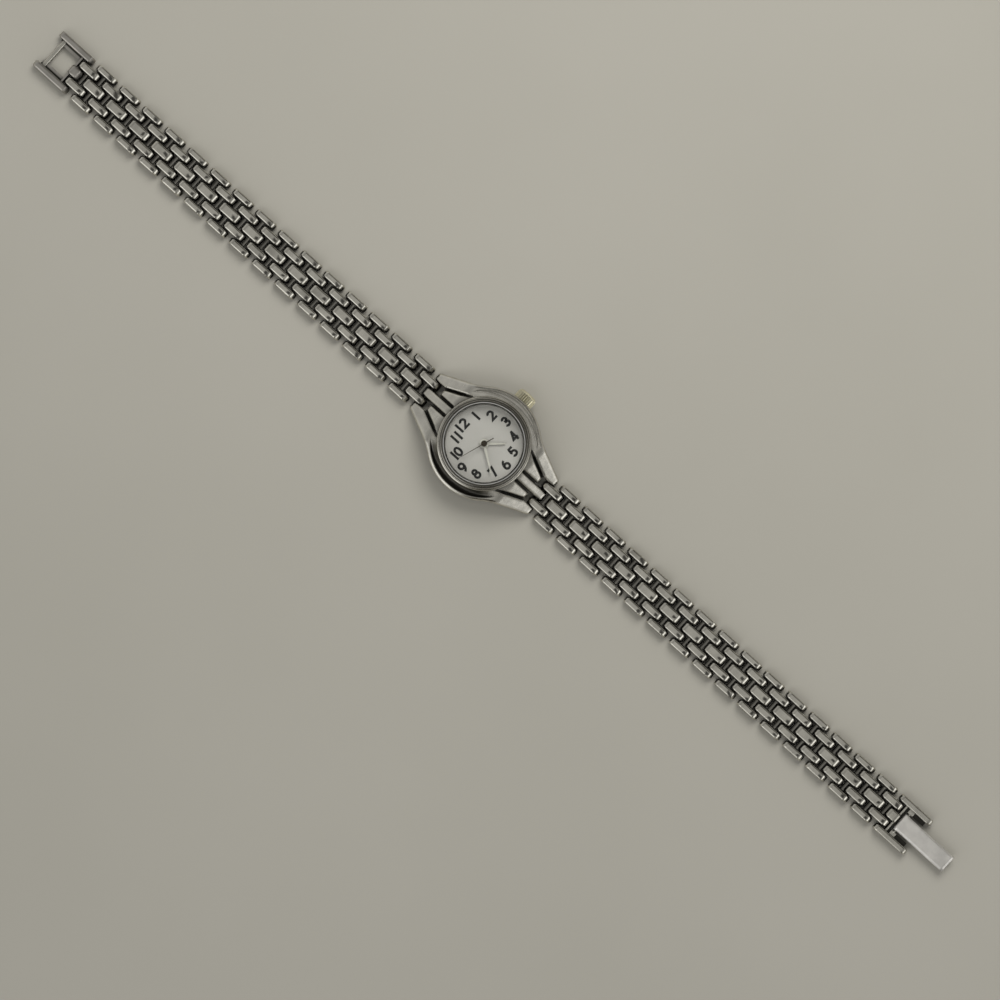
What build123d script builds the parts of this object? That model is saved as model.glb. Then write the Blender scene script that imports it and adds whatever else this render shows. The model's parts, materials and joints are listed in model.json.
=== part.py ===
from build123d import *
import math
import os

os.makedirs("parts", exist_ok=True)

# This is a small bracelet watch that lies open and flat with its dial up.
# X runs across the band, and the crown points along +X.
# Y runs along the band, and twelve o'clock is towards +Y.
# Z is up, and zero is the flat face of the case back, which rests on the table.

# Bracelet links, their bars and their pins
LINK_HEIGHT = 1.7
OUTER_BAR_WIDTH = 1.12
INNER_BAR_WIDTH = 1.3
CENTRE_BAR_WIDTH = 1.66
COLUMN_GAP = 0.25
BAR_ROUND = 0.32
WEB_LENGTH = 0.5
WEB_GAP = 0.15
WEB_RECESS = 0.35
PIN_RADIUS = 0.3
PIN_COVER = 0.3
RUNNING_GAP = 0.05
GROUPS_PER_SIDE = 15

# Case body with its lugs
LUG_LENGTH = 2.95
ARM_INSET = 0.71
ARM_BLEND = 12.0
HEEL_LENGTH = 2.5
LUG_FALL_DEGREES = 30.0
SHOULDER_ROUND = 3.0
RIM_ROUND = 0.6
ARM_TIP_ROUND = 0.7
FINGER_TIP_ROUND = 0.35

# Grooves in the top of the case
RIM_WIDTH = 0.65
CRESCENT_WIDTH = 0.7
CRESCENT_LEDGE = 0.3
CRESCENT_END_DEGREES = 36.0
CRESCENT_DEPTH = 0.9
GROOVE_WIDTH = 0.42
GROOVE_DEPTH = 1.2
GROOVE_HIDDEN = 0.1
LIP_ROUND = 0.35
FINGER_INSET = 0.1
FILLER_DEGREES = 33.0
SLOT_SPARE = 0.75
SLOT_GAP = 0.08

# Case back and its seal
BACK_THICKNESS = 0.7
BACK_FLANGE = 0.4
BACK_FLANGE_WIDTH = 0.45
BACK_RIM_WIDTH = 1.85
BACK_RECESS_DEPTH = 0.12
BACK_GASKET_WIDTH = 0.35
BACK_GASKET_HEIGHT = 0.3

# Bezel, crystal and the crystal's seal
BEZEL_SEAT_WIDTH = 0.4
BEZEL_NECK_DEPTH = 0.45
BEZEL_NECK_GAP = 0.2
BEZEL_STEPS = 3
BEZEL_STEP = 0.35
BEZEL_STEP_HEIGHT = 0.4
BEZEL_WALL = 0.3
BEZEL_ROUND = 0.15
CRYSTAL_SEAT_WIDTH = 0.25
CRYSTAL_EDGE_HEIGHT = 0.75
CRYSTAL_DOME = 0.4
CRYSTAL_PROUD = 0.05
CRYSTAL_HAND_GAP = 0.42
CRYSTAL_GASKET_WIDTH = 0.15

# Dial and its feet
DIAL_THICKNESS = 0.3
DIAL_SETBACK = 0.35
DIAL_EDGE_GAP = 0.1
DIAL_MARGIN = 0.5
DIAL_MOTION_GAP = 0.07
DIAL_FOOT_RADIUS = 0.3
DIAL_FOOT_HOLD = 0.3
DIAL_FOOT_INSET = 0.9
DIAL_FOOT_DEGREES = 65.0
DIAL_HOLE_GAP = 0.08

# Time shown by the hands at rest
HOUR_SHOWN = 4
MINUTE_SHOWN = 35
SECOND_SHOWN = 48

# Hands
HAND_THICKNESS = 0.12
HAND_GAP = 0.21
HAND_FIRST_GAP = 0.25
HOUR_HAND_LENGTH = 3.5
HOUR_HAND_WIDTH = 0.5
HOUR_HUB_RIM = 0.2
MINUTE_HAND_LENGTH = 4.9
MINUTE_HAND_WIDTH = 0.42
MINUTE_HUB_RIM = 0.28
SECOND_HAND_LENGTH = 4.9
SECOND_HAND_TAIL = 1.8
SECOND_HAND_WIDTH = 0.14
SECOND_HUB_RADIUS = 0.5
HAND_TIP_SHARE = 0.4

# Movement plates and the ring that holds them
RING_WIDTH = 0.25
RING_GAP = 0.05
RING_TOP_GAP = 0.1
BRIDGE_THICKNESS = 0.3
BRIDGE_INSET = 0.25
PLATE_THICKNESS = 0.45
PLATE_RIM_WIDTH = 0.7
PILLAR_RADIUS = 0.5
PILLAR_INSET = 1.65
PILLAR_DEGREES = (35.0, 142.0, 212.0, 328.0)

# Gear train
TRAIN_DISTANCE = 2.3
ROTOR_DISTANCE = 1.35
MOTION_DISTANCE = 1.8
THIRD_DEGREES = 180.0
INTERMEDIATE_DEGREES = 75.0
ROTOR_DEGREES = 20.0
MOTION_DEGREES = 315.0
WHEEL_THICKNESS = 0.2
WHEEL_GAP = 0.15
FIRST_WHEEL_GAP = 0.1
PINION_EXTRA = 0.04
ARBOR_RADIUS = 0.12
ROTOR_TEETH = 6
INTERMEDIATE_TEETH = 30
INTERMEDIATE_PINION_TEETH = 10
SECONDS_TEETH = 60
SECONDS_PINION_TEETH = 8
THIRD_TEETH = 60
THIRD_PINION_TEETH = 8
CENTRE_TEETH = 64
CANNON_TEETH = 10
MINUTE_WHEEL_TEETH = 30
MINUTE_PINION_TEETH = 8
HOUR_TEETH = 32
MAGNET_RADIUS = 0.6
MAGNET_HEIGHT = 0.5
CANNON_WALL = 0.17
HOUR_PIPE_WALL = 0.17
MOTION_THICKNESS = 0.14
MOTION_GAP = 0.05
POST_RADIUS = 0.15

# Shape of a gear tooth, as shares of the module and of the tooth's pitch
ADDENDUM_SHARE = 0.85
DEDENDUM_SHARE = 1.1
ROOT_TOOTH_SHARE = 0.5
TIP_TOOTH_SHARE = 0.2

# Stepping motor and battery
STATOR_THICKNESS = 0.3
STATOR_HOLE_GAP = 0.1
STATOR_RING_WIDTH = 0.25
STATOR_ARM_WIDTH = 0.6
STATOR_HALF_LENGTH = 3.2
COIL_HEAD_GAP = 0.2
COIL_SIDE_GAP = 0.27
COIL_END_GAP = 0.1
BATTERY_RADIUS = 2.4
BATTERY_HEIGHT = 1.6
BATTERY_TUCK = 0.05
BATTERY_RIM = 0.1
BATTERY_GAP = 0.12
BATTERY_CAP_INSET = 0.35
BATTERY_CAP_HEIGHT = 0.2

# Crown, its stem and its seal
STEM_RADIUS = 0.4
STEM_REACH = 3.75
STEM_HOLD = 0.7
CROWN_TABLE_GAP = 0.3
CROWN_SINK = 0.15
CROWN_LENGTH = 1.75
CROWN_ROUND = 0.75
CROWN_FLUTES = 26
CROWN_FLUTE_RADIUS = 0.16
CROWN_RECESS_GAP = 0.12
CROWN_BACK_GAP = 0.1
CROWN_CELL_GAP = 0.55
CROWN_CELL_DEPTH = 0.7
CROWN_GASKET_GAP = 0.06

# Hook half of the clasp, at the twelve o'clock end
HOOK_LENGTH = 6.5
LEDGE_WIDTH = 0.71
LEDGE_HEIGHT = 1.0
LEDGE_FLOOR = 0.2
END_WEB_LENGTH = 0.3
END_WEB_GAP = 0.1
HOOK_BAR_RADIUS = 0.42
HOOK_BAR_SETBACK = 1.45
HOOK_BAR_HOLD = 0.5

# Lever half of the clasp, at the six o'clock end
LEVER_FRAME_LENGTH = 6.0
LEVER_PLATE_LENGTH = 0.8
LEVER_PLATE_TOP = 0.9
BLADE_SIDE_GAP = 0.36
BLADE_LENGTH = 10.0
BLADE_THICKNESS = 0.45
BLADE_LIP_LENGTH = 0.45
BLADE_LIP_DROP = 0.35
BLADE_KNUCKLE_RADIUS = 0.5
BLADE_PIN_RADIUS = 0.22
BLADE_PIN_HOLD = 0.3
BLADE_EDGE_BEVEL = 0.1

# Overrun of every cut past the face that it opens
OVERRUN = 1.0

# Widths and lengths of the links, from the middle of the band out
PIN_HEIGHT = LINK_HEIGHT / 2
PIN_SPACING = LINK_HEIGHT + WEB_LENGTH + 2 * WEB_GAP
HALF_CENTRE = CENTRE_BAR_WIDTH / 2
INNER_BAR_START = HALF_CENTRE + COLUMN_GAP
INNER_BAR_END = INNER_BAR_START + INNER_BAR_WIDTH
OUTER_BAR_START = INNER_BAR_END + COLUMN_GAP
HALF_BAND = OUTER_BAR_START + OUTER_BAR_WIDTH
PIN_REACH = HALF_BAND - PIN_COVER - RUNNING_GAP

# Heights inside the case, from the case back up to the bezel
MOVEMENT_FLOOR = BACK_THICKNESS + BACK_GASKET_HEIGHT + RING_GAP
BRIDGE_TOP = MOVEMENT_FLOOR + BRIDGE_THICKNESS
WHEEL_SPACING = WHEEL_THICKNESS + WHEEL_GAP
TRAIN_TOP = BRIDGE_TOP + FIRST_WHEEL_GAP + 3 * WHEEL_SPACING + WHEEL_THICKNESS
PLATE_FLOOR = TRAIN_TOP + RUNNING_GAP
PLATE_TOP = PLATE_FLOOR + PLATE_THICKNESS
MOTION_SPACING = MOTION_THICKNESS + MOTION_GAP
DIAL_FLOOR = PLATE_TOP + 2 * MOTION_SPACING + DIAL_MOTION_GAP
DIAL_TOP = DIAL_FLOOR + DIAL_THICKNESS
HOLLOW_TOP = DIAL_FLOOR + RING_TOP_GAP
CASE_DECK = DIAL_TOP + BEZEL_NECK_GAP + BEZEL_NECK_DEPTH
HAND_SPACING = HAND_THICKNESS + HAND_GAP
HANDS_TOP = DIAL_TOP + HAND_FIRST_GAP + 2 * HAND_SPACING + HAND_THICKNESS
CRYSTAL_FLOOR = HANDS_TOP + CRYSTAL_HAND_GAP
BEZEL_TOP = CRYSTAL_FLOOR + CRYSTAL_EDGE_HEIGHT - CRYSTAL_PROUD

# Radii, from the movement out to the case
BATTERY_PLACE = TRAIN_DISTANCE + BATTERY_RADIUS - BATTERY_TUCK
MOVEMENT_RADIUS = BATTERY_PLACE + BATTERY_RADIUS + BATTERY_RIM
BRIDGE_RADIUS = MOVEMENT_RADIUS - BRIDGE_INSET
HOLLOW_RADIUS = MOVEMENT_RADIUS + RING_WIDTH + 2 * RING_GAP
BACK_RADIUS = HOLLOW_RADIUS - RUNNING_GAP
BACK_FLANGE_RADIUS = BACK_RADIUS + BACK_FLANGE_WIDTH
BACK_RECESS_RADIUS = BACK_RADIUS - BACK_RIM_WIDTH
DIAL_RADIUS = MOVEMENT_RADIUS - DIAL_SETBACK
DIAL_OPENING_RADIUS = DIAL_RADIUS + DIAL_EDGE_GAP
REHAUT_RADIUS = DIAL_RADIUS - DIAL_MARGIN
CRYSTAL_RADIUS = REHAUT_RADIUS + CRYSTAL_SEAT_WIDTH
CRYSTAL_CELL_RADIUS = CRYSTAL_RADIUS + CRYSTAL_GASKET_WIDTH
BEZEL_RADIUS = CRYSTAL_CELL_RADIUS + BEZEL_WALL + (BEZEL_STEPS - 1) * BEZEL_STEP
BEZEL_NECK_RADIUS = BEZEL_RADIUS - BEZEL_SEAT_WIDTH
CASE_RADIUS = BEZEL_RADIUS + CRESCENT_LEDGE + CRESCENT_WIDTH + RIM_WIDTH
CANNON_BORE_RADIUS = ARBOR_RADIUS + RUNNING_GAP
CANNON_RADIUS = CANNON_BORE_RADIUS + CANNON_WALL
HOUR_PIPE_RADIUS = CANNON_RADIUS + RUNNING_GAP + HOUR_PIPE_WALL

# Places along the band
LUG_REACH = CASE_RADIUS + LUG_LENGTH
LUG_TIP = LUG_REACH + PIN_HEIGHT
SOLE_END = LUG_REACH - HEEL_LENGTH
FILLER_TIP_Y = LUG_REACH - PIN_HEIGHT - SLOT_SPARE
CLASP_PIN_Y = LUG_REACH + (2 * GROUPS_PER_SIDE + 1) * PIN_SPACING
END_WEB_Y = CLASP_PIN_Y + PIN_HEIGHT + END_WEB_GAP
HOOK_BAR_Y = CLASP_PIN_Y + HOOK_LENGTH - HOOK_BAR_SETBACK
HINGE_Y = END_WEB_Y + LEVER_PLATE_LENGTH + RUNNING_GAP + BLADE_KNUCKLE_RADIUS
HINGE_HEIGHT = LINK_HEIGHT - RUNNING_GAP - BLADE_KNUCKLE_RADIUS
OPENING_HALF_WIDTH = OUTER_BAR_START - LEDGE_WIDTH
BLADE_HALF_WIDTH = OPENING_HALF_WIDTH - BLADE_SIDE_GAP

# Places along the stem
STEM_HEIGHT = (BRIDGE_TOP + PLATE_FLOOR) / 2
STEM_INNER_X = MOVEMENT_RADIUS - STEM_REACH
CROWN_RADIUS = STEM_HEIGHT - CROWN_TABLE_GAP
CROWN_INNER_X = CASE_RADIUS - CROWN_SINK
CROWN_OUTER_X = CROWN_INNER_X + CROWN_LENGTH
CROWN_CELL_RADIUS = STEM_RADIUS + CROWN_CELL_GAP


def polar(distance, degrees):
    """The point of the movement at a distance and direction from the dial's centre."""
    angle = math.radians(degrees)
    return Vector(distance * math.cos(angle), distance * math.sin(angle))


# Centres of the train's wheels
CENTRE = Vector(0, 0)
THIRD = polar(TRAIN_DISTANCE, THIRD_DEGREES)
INTERMEDIATE = polar(TRAIN_DISTANCE, INTERMEDIATE_DEGREES)
ROTOR = INTERMEDIATE + polar(ROTOR_DISTANCE, ROTOR_DEGREES)
MINUTE_AXIS = polar(MOTION_DISTANCE, MOTION_DEGREES)

# Places of the motor's parts
STATOR_Y = ROTOR.Y + MAGNET_RADIUS + STATOR_HOLE_GAP + STATOR_RING_WIDTH + STATOR_ARM_WIDTH / 2
COIL_RADIUS = (PLATE_FLOOR - BRIDGE_TOP - COIL_HEAD_GAP) / 2
COIL_HEIGHT = BRIDGE_TOP + COIL_RADIUS
COIL_Y = STATOR_Y + STATOR_ARM_WIDTH / 2 + COIL_SIDE_GAP + COIL_RADIUS
COIL_HALF_LENGTH = STATOR_HALF_LENGTH - STATOR_ARM_WIDTH - COIL_END_GAP


def disc(radius, low, high, centre=Vector(0, 0)):
    """A round solid about a vertical line, between two heights."""
    return extrude(Pos(centre.X, centre.Y, low) * Circle(radius), high - low)


def ring(outer, inner, low, high, centre=Vector(0, 0)):
    """A flat ring between two heights."""
    return disc(outer, low, high, centre) - disc(inner, low - OVERRUN, high + OVERRUN, centre)


def cross_rod(radius, half_length, y, z):
    """A rod across the band, centred on the band's middle."""
    return extrude(Plane.YZ * Pos(y, z) * Circle(radius), half_length, both=True)


def slab(x, y, z):
    """A box between two values on each axis."""
    size = (abs(x[1] - x[0]), abs(y[1] - y[0]), abs(z[1] - z[0]))
    middle = Pos((x[0] + x[1]) / 2, (y[0] + y[1]) / 2, (z[0] + z[1]) / 2)
    return middle * Box(*size)


def bar(x_low, x_high, y_first, y_last):
    """A link bar with round ends about two pins and rounded long edges."""
    outline = SlotCenterToCenter(abs(y_last - y_first), LINK_HEIGHT)
    place = Plane.YZ.offset(x_low) * Pos((y_first + y_last) / 2, PIN_HEIGHT)
    solid = extrude(place * outline, x_high - x_low)
    sides = solid.faces().sort_by(Axis.X)
    return fillet(sides[0].edges() + sides[-1].edges(), BAR_ROUND)


def bar_pair(x_low, x_high, y_first, y_last):
    """The same bar on both sides of the band's middle."""
    return bar(x_low, x_high, y_first, y_last) + bar(-x_high, -x_low, y_first, y_last)


def web(half_width, y):
    """The flat web that joins a link's bars under the tops of its neighbours."""
    length = (y - WEB_LENGTH / 2, y + WEB_LENGTH / 2)
    return slab((-half_width, half_width), length, (WEB_RECESS, LINK_HEIGHT - WEB_RECESS))


def pin_y(number):
    """The place of a bracelet pin, counted out from the lug."""
    return LUG_REACH + number * PIN_SPACING


def pin(number):
    """A pin pressed through the inner bars, blind in the outer ones."""
    return cross_rod(PIN_RADIUS, PIN_REACH, pin_y(number), PIN_HEIGHT)


def pin_hole(number, gap):
    """The cut that a pin runs in."""
    return cross_rod(PIN_RADIUS + gap, PIN_REACH + RUNNING_GAP, pin_y(number), PIN_HEIGHT)


def inner_link(number):
    """A link of two inner bars, which grips its two pins."""
    first, last = pin_y(number), pin_y(number + 1)
    solid = bar_pair(INNER_BAR_START, INNER_BAR_END, first, last)
    solid += web(INNER_BAR_START + BAR_ROUND, (first + last) / 2)
    return solid - pin_hole(number, 0) - pin_hole(number + 1, 0)


def outer_link(number):
    """A link of a centre bar and two outer bars, which turns on its two pins."""
    first, last = pin_y(number), pin_y(number + 1)
    solid = bar(-HALF_CENTRE, HALF_CENTRE, first, last)
    solid += bar_pair(OUTER_BAR_START, HALF_BAND, first, last)
    solid += web(OUTER_BAR_START + BAR_ROUND, (first + last) / 2)
    return solid - pin_hole(number, RUNNING_GAP) - pin_hole(number + 1, RUNNING_GAP)


def link_group(group):
    """An inner link and the outer link after it, and the last inner link on the last group."""
    first = 2 * group
    pieces = [inner_link(first), outer_link(first + 1), pin(first), pin(first + 1)]
    if group == GROUPS_PER_SIDE - 1:
        pieces += [inner_link(first + 2), pin(first + 2), pin(first + 3)]
    return pieces


def slope_end():
    """Where a lug's sloping top meets its round tip: the distance along the band and the height."""
    fall = math.radians(LUG_FALL_DEGREES)
    return LUG_REACH + PIN_HEIGHT * math.sin(fall), PIN_HEIGHT + PIN_HEIGHT * math.cos(fall)


def case_profile():
    """The case and its lugs seen from the crown's side."""
    fall = math.radians(LUG_FALL_DEGREES)
    touch_y, touch_z = slope_end()
    shoulder_y = touch_y - (CASE_DECK - touch_z) / math.tan(fall)
    lines = [Line((-shoulder_y, CASE_DECK), (shoulder_y, CASE_DECK))]
    lines.append(Line((-SOLE_END, BACK_FLANGE), (SOLE_END, BACK_FLANGE)))
    for side in (1, -1):
        touch = (side * touch_y, touch_z)
        heel = (side * LUG_REACH, 0)
        lines.append(Line((side * shoulder_y, CASE_DECK), touch))
        lines.append(ThreePointArc(touch, (side * LUG_TIP, PIN_HEIGHT), heel))
        lines.append(Line(heel, (side * SOLE_END, BACK_FLANGE)))
    face = make_face(lines)
    shoulders = face.vertices().sort_by(Axis.Y)[-2:]
    return fillet(shoulders, SHOULDER_ROUND)


def arm_direction():
    """The way in along an arm's straight flank from the corner of its tip."""
    corner = Vector(HALF_BAND, LUG_TIP)
    turn = math.asin((CASE_RADIUS - ARM_INSET) / corner.length)
    return (corner * -1).rotate(Axis.Z, math.degrees(turn)).normalized()


def case_plan():
    """The case and its lugs seen from above: a round body that sweeps into four arms."""
    corner = Vector(HALF_BAND, LUG_TIP)
    arm_radius = CASE_RADIUS - ARM_INSET
    foot = math.sqrt(corner.dot(corner) - arm_radius**2)
    along = arm_direction()
    outward = Vector(-along.Y, along.X)
    reach = CASE_RADIUS + ARM_BLEND
    run = foot - math.sqrt(reach**2 - (arm_radius + ARM_BLEND) ** 2)
    centre = corner + outward * ARM_BLEND + along * run
    line_end = corner + along * run
    rim_end = centre * (CASE_RADIUS / reach)
    middle = centre + (line_end + rim_end - centre * 2).normalized() * ARM_BLEND
    outer = corner - along * OVERRUN
    lines = []
    for x in (1, -1):
        ends = [(x * rim_end.X, rim_end.Y), (x * CASE_RADIUS, 0), (x * rim_end.X, -rim_end.Y)]
        lines.append(ThreePointArc(*ends))
        for y in (1, -1):
            turn = (x * line_end.X, y * line_end.Y)
            lines.append(Line((x * outer.X, y * outer.Y), turn))
            sweep = (x * middle.X, y * middle.Y)
            lines.append(ThreePointArc(turn, sweep, (x * rim_end.X, y * rim_end.Y)))
    for y in (1, -1):
        lines.append(Line((-outer.X, y * outer.Y), (outer.X, y * outer.Y)))
    return make_face(lines)


def rim_edges(solid):
    """The upper edges of the case's upright flanks."""
    found = []
    for face in solid.faces():
        normal = face.normal_at(face.center())
        if abs(normal.Z) > abs(normal.X):
            continue
        for edge in face.edges() - face.edges().filter_by(Axis.Z):
            if edge.position_at(1 / 2).Z > PIN_HEIGHT:
                found.append(edge)
    return found


def crescent(side):
    """The dark groove between the bezel and the case's rim, on one flank."""
    outer = CASE_RADIUS - RIM_WIDTH
    inner = outer - CRESCENT_WIDTH
    end = polar(outer, 90 - CRESCENT_END_DEGREES)
    offset = (end.dot(end) - inner**2) / (2 * (inner - end.X))
    cut = Circle(outer) - Pos(-offset, 0) * Circle(inner + offset)
    half_plane = Pos(outer / 2, 0) * Rectangle(outer, 2 * outer)
    face = mirror(cut & half_plane, Plane.YZ) if side < 0 else cut & half_plane
    return extrude(Pos(0, 0, CASE_DECK - CRESCENT_DEPTH) * face, CRESCENT_DEPTH + OVERRUN)


def lug_grooves(end):
    """The middle lines of the grooves beside the finger and along each arm at one end."""
    start_radius = BEZEL_RADIUS - GROOVE_HIDDEN + GROOVE_WIDTH / 2
    finger = HALF_CENTRE - FINGER_INSET + GROOVE_WIDTH / 2
    finger_start = math.sqrt(start_radius**2 - finger**2)
    root = polar(start_radius, 90 - FILLER_DEGREES)
    lines = []
    for side in (1, -1):
        lines.append(((side * finger, end * finger_start), (side * finger, end * (LUG_TIP + OVERRUN))))
        lines.append(((side * root.X, end * root.Y), (side * INNER_BAR_END, end * FILLER_TIP_Y)))
    return lines


def groove_cut(start, finish):
    """A groove of round plan between two points, to a depth that follows the lug's slope."""
    run = Vector(*finish) - Vector(*start)
    angle = math.degrees(math.atan2(run.Y, run.X))
    middle = (Vector(*finish) + Vector(*start)) / 2
    plan = Pos(middle.X, middle.Y) * Rot(0, 0, angle) * SlotCenterToCenter(run.length, GROOVE_WIDTH)
    return extrude(plan, CASE_DECK + OVERRUN)


def groove_floor():
    """The solid that stays under the lug grooves: the case's profile let down by their depth."""
    return Pos(0, 0, -GROOVE_DEPTH) * extrude(Plane.YZ * case_profile(), CASE_RADIUS, both=True)


def lug_slots(end):
    """The openings between the fingers that take the first inner bars."""
    low, high = INNER_BAR_START - SLOT_GAP, INNER_BAR_END + SLOT_GAP
    cuts = []
    for side in (1, -1):
        y = (end * FILLER_TIP_Y, end * (LUG_TIP + OVERRUN))
        x = (side * low, side * high)
        cuts.append(slab(x, y, (-OVERRUN, CASE_DECK)))
    return cuts


def groove_lips(end):
    """The middle lines of every rounded lip at one end: the grooves, the slots and the filler tips."""
    lines = lug_grooves(end)
    for side in (1, -1):
        x = side * (INNER_BAR_END + SLOT_GAP - GROOVE_WIDTH / 2)
        lines.append(((x, end * FILLER_TIP_Y), (x, end * (LUG_TIP + OVERRUN))))
        y = end * (FILLER_TIP_Y + GROOVE_WIDTH / 2)
        lines.append(((side * INNER_BAR_START, y), (side * INNER_BAR_END, y)))
    return lines


def lip_cut(start, finish, end):
    """The cut that rounds both lips of a groove on a lug's slope, between two points in plan."""
    fall = math.radians(LUG_FALL_DEGREES)
    end_y, end_z = slope_end()
    points = [Vector(x, y, end_z + (end_y - end * y) * math.tan(fall)) for x, y in (start, finish)]
    run = points[1] - points[0]
    upward = Vector(0, end * math.sin(fall), math.cos(fall))
    far = GROOVE_WIDTH / 2 + LIP_ROUND
    section = Rectangle(2 * far, 2 * LIP_ROUND)
    for side in (1, -1):
        section -= Pos(side * far, -LIP_ROUND) * Circle(LIP_ROUND)
    place = Plane(origin=points[0], x_dir=upward.cross(run), z_dir=run)
    return extrude(place * section, run.length)


def corner_cut(corner, first, second, radius):
    """The upright cut that rounds a corner, given the ways in along its two walls."""
    middle = (first + second).normalized()
    half = math.acos(middle.dot(first))
    centre = corner + middle * (radius / math.sin(half))
    reach = radius / math.tan(half)
    points = [corner - middle * radius, corner + first * reach, centre, corner + second * reach]
    face = Polygon(*[(point.X, point.Y) for point in points], align=None)
    return extrude(face - Pos(centre.X, centre.Y) * Circle(radius), CASE_DECK + OVERRUN)


def tip_cuts(end):
    """The cuts that round the tips of the two arms and the finger at one end."""
    tip = Vector(0, end * LUG_TIP)
    inward = Vector(0, -end)
    cuts = []
    for side in (1, -1):
        across = Vector(side, 0)
        flank = Vector(side * arm_direction().X, end * arm_direction().Y)
        slot = tip + across * (INNER_BAR_END + SLOT_GAP)
        finger = tip + across * (HALF_CENTRE - FINGER_INSET)
        cuts.append(corner_cut(tip + across * HALF_BAND, flank, across * -1, ARM_TIP_ROUND))
        cuts.append(corner_cut(slot, inward, across, FINGER_TIP_ROUND))
        cuts.append(corner_cut(finger, inward, across * -1, FINGER_TIP_ROUND))
    return cuts


def make_case():
    block = extrude(case_plan(), CASE_DECK + OVERRUN)
    solid = block & extrude(Plane.YZ * case_profile(), CASE_RADIUS + OVERRUN, both=True)
    solid = fillet(rim_edges(solid), RIM_ROUND)
    for side in (1, -1):
        solid -= crescent(side)
    floor = groove_floor()
    for end in (1, -1):
        for start, finish in lug_grooves(end):
            solid -= groove_cut(start, finish) - floor
        for cut in lug_slots(end):
            solid -= cut
        for start, finish in groove_lips(end):
            solid -= lip_cut(start, finish, end)
        for cut in tip_cuts(end):
            solid -= cut
        hole = cross_rod(PIN_RADIUS + RUNNING_GAP, PIN_REACH + RUNNING_GAP, end * LUG_REACH, PIN_HEIGHT)
        solid -= hole
    solid -= disc(HOLLOW_RADIUS, -OVERRUN, HOLLOW_TOP)
    solid -= disc(BACK_FLANGE_RADIUS + RUNNING_GAP, -OVERRUN, BACK_FLANGE)
    solid -= disc(DIAL_OPENING_RADIUS, HOLLOW_TOP - OVERRUN, CASE_DECK + OVERRUN)
    solid -= disc(BEZEL_NECK_RADIUS, CASE_DECK - BEZEL_NECK_DEPTH, CASE_DECK + OVERRUN)
    solid -= stem_hole(STEM_RADIUS + RUNNING_GAP, STEM_INNER_X, CROWN_OUTER_X)
    recess_x = CROWN_INNER_X - CROWN_BACK_GAP
    solid -= stem_hole(CROWN_RADIUS + CROWN_RECESS_GAP, recess_x, CROWN_OUTER_X)
    return solid


def stem_hole(radius, x_low, x_high):
    """A round rod along the stem's line."""
    return extrude(Plane.YZ.offset(x_low) * Pos(0, STEM_HEIGHT) * Circle(radius), x_high - x_low)


def make_case_back():
    solid = disc(BACK_RADIUS, BACK_FLANGE, BACK_THICKNESS) + disc(BACK_FLANGE_RADIUS, 0, BACK_FLANGE)
    return solid - disc(BACK_RECESS_RADIUS, BACK_THICKNESS - BACK_RECESS_DEPTH, BACK_THICKNESS + OVERRUN)


def make_case_back_gasket():
    inner = BACK_RADIUS - BACK_GASKET_WIDTH
    return ring(BACK_RADIUS, inner, BACK_THICKNESS, BACK_THICKNESS + BACK_GASKET_HEIGHT)


def make_bezel():
    """A polished ring of three rounded steps with a neck that drops into the case."""
    neck_floor = CASE_DECK - BEZEL_NECK_DEPTH
    corners = [(REHAUT_RADIUS, neck_floor), (BEZEL_NECK_RADIUS, neck_floor), (BEZEL_NECK_RADIUS, CASE_DECK)]
    corners.append((BEZEL_RADIUS, CASE_DECK))
    outward = []
    for step in range(BEZEL_STEPS):
        radius = BEZEL_RADIUS - step * BEZEL_STEP
        height = BEZEL_TOP - (BEZEL_STEPS - 1 - step) * BEZEL_STEP_HEIGHT
        outward.append((radius, height))
        corners += [(radius, height), (radius - BEZEL_STEP, height)]
    corners[-1] = (CRYSTAL_CELL_RADIUS, BEZEL_TOP)
    corners += [(CRYSTAL_CELL_RADIUS, CRYSTAL_FLOOR), (REHAUT_RADIUS, CRYSTAL_FLOOR)]
    face = Polygon(*corners, align=None)
    rounded = [v for v in face.vertices() if any(Vector(*c) == Vector(v.X, v.Y) for c in outward)]
    return revolve(Plane.XZ * fillet(rounded, BEZEL_ROUND), Axis.Z)


def make_crystal():
    """A clear disc with a low dome."""
    top = CRYSTAL_FLOOR + CRYSTAL_EDGE_HEIGHT
    corners = [(0, CRYSTAL_FLOOR), (CRYSTAL_RADIUS, CRYSTAL_FLOOR), (CRYSTAL_RADIUS, top)]
    peak = top + CRYSTAL_DOME
    ball = (CRYSTAL_RADIUS**2 + CRYSTAL_DOME**2) / (2 * CRYSTAL_DOME)
    lines = [Line(corners[0], corners[1]), Line(corners[1], corners[2])]
    lines += [RadiusArc(corners[2], (0, peak), -ball), Line((0, peak), corners[0])]
    return revolve(Plane.XZ * make_face(lines), Axis.Z)


def make_crystal_gasket():
    top = CRYSTAL_FLOOR + CRYSTAL_EDGE_HEIGHT
    return ring(CRYSTAL_CELL_RADIUS, CRYSTAL_RADIUS, CRYSTAL_FLOOR, top)


def dial_feet():
    """The places of the dial's two feet."""
    place = DIAL_RADIUS - DIAL_FOOT_INSET
    return [polar(place, DIAL_FOOT_DEGREES), polar(-place, DIAL_FOOT_DEGREES)]


def make_dial():
    solid = disc(DIAL_RADIUS, DIAL_FLOOR, DIAL_TOP)
    for foot in dial_feet():
        solid += disc(DIAL_FOOT_RADIUS, PLATE_TOP - DIAL_FOOT_HOLD, DIAL_TOP, foot)
    return solid - disc(HOUR_PIPE_RADIUS + DIAL_HOLE_GAP, DIAL_FLOOR - OVERRUN, DIAL_TOP + OVERRUN)


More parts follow.
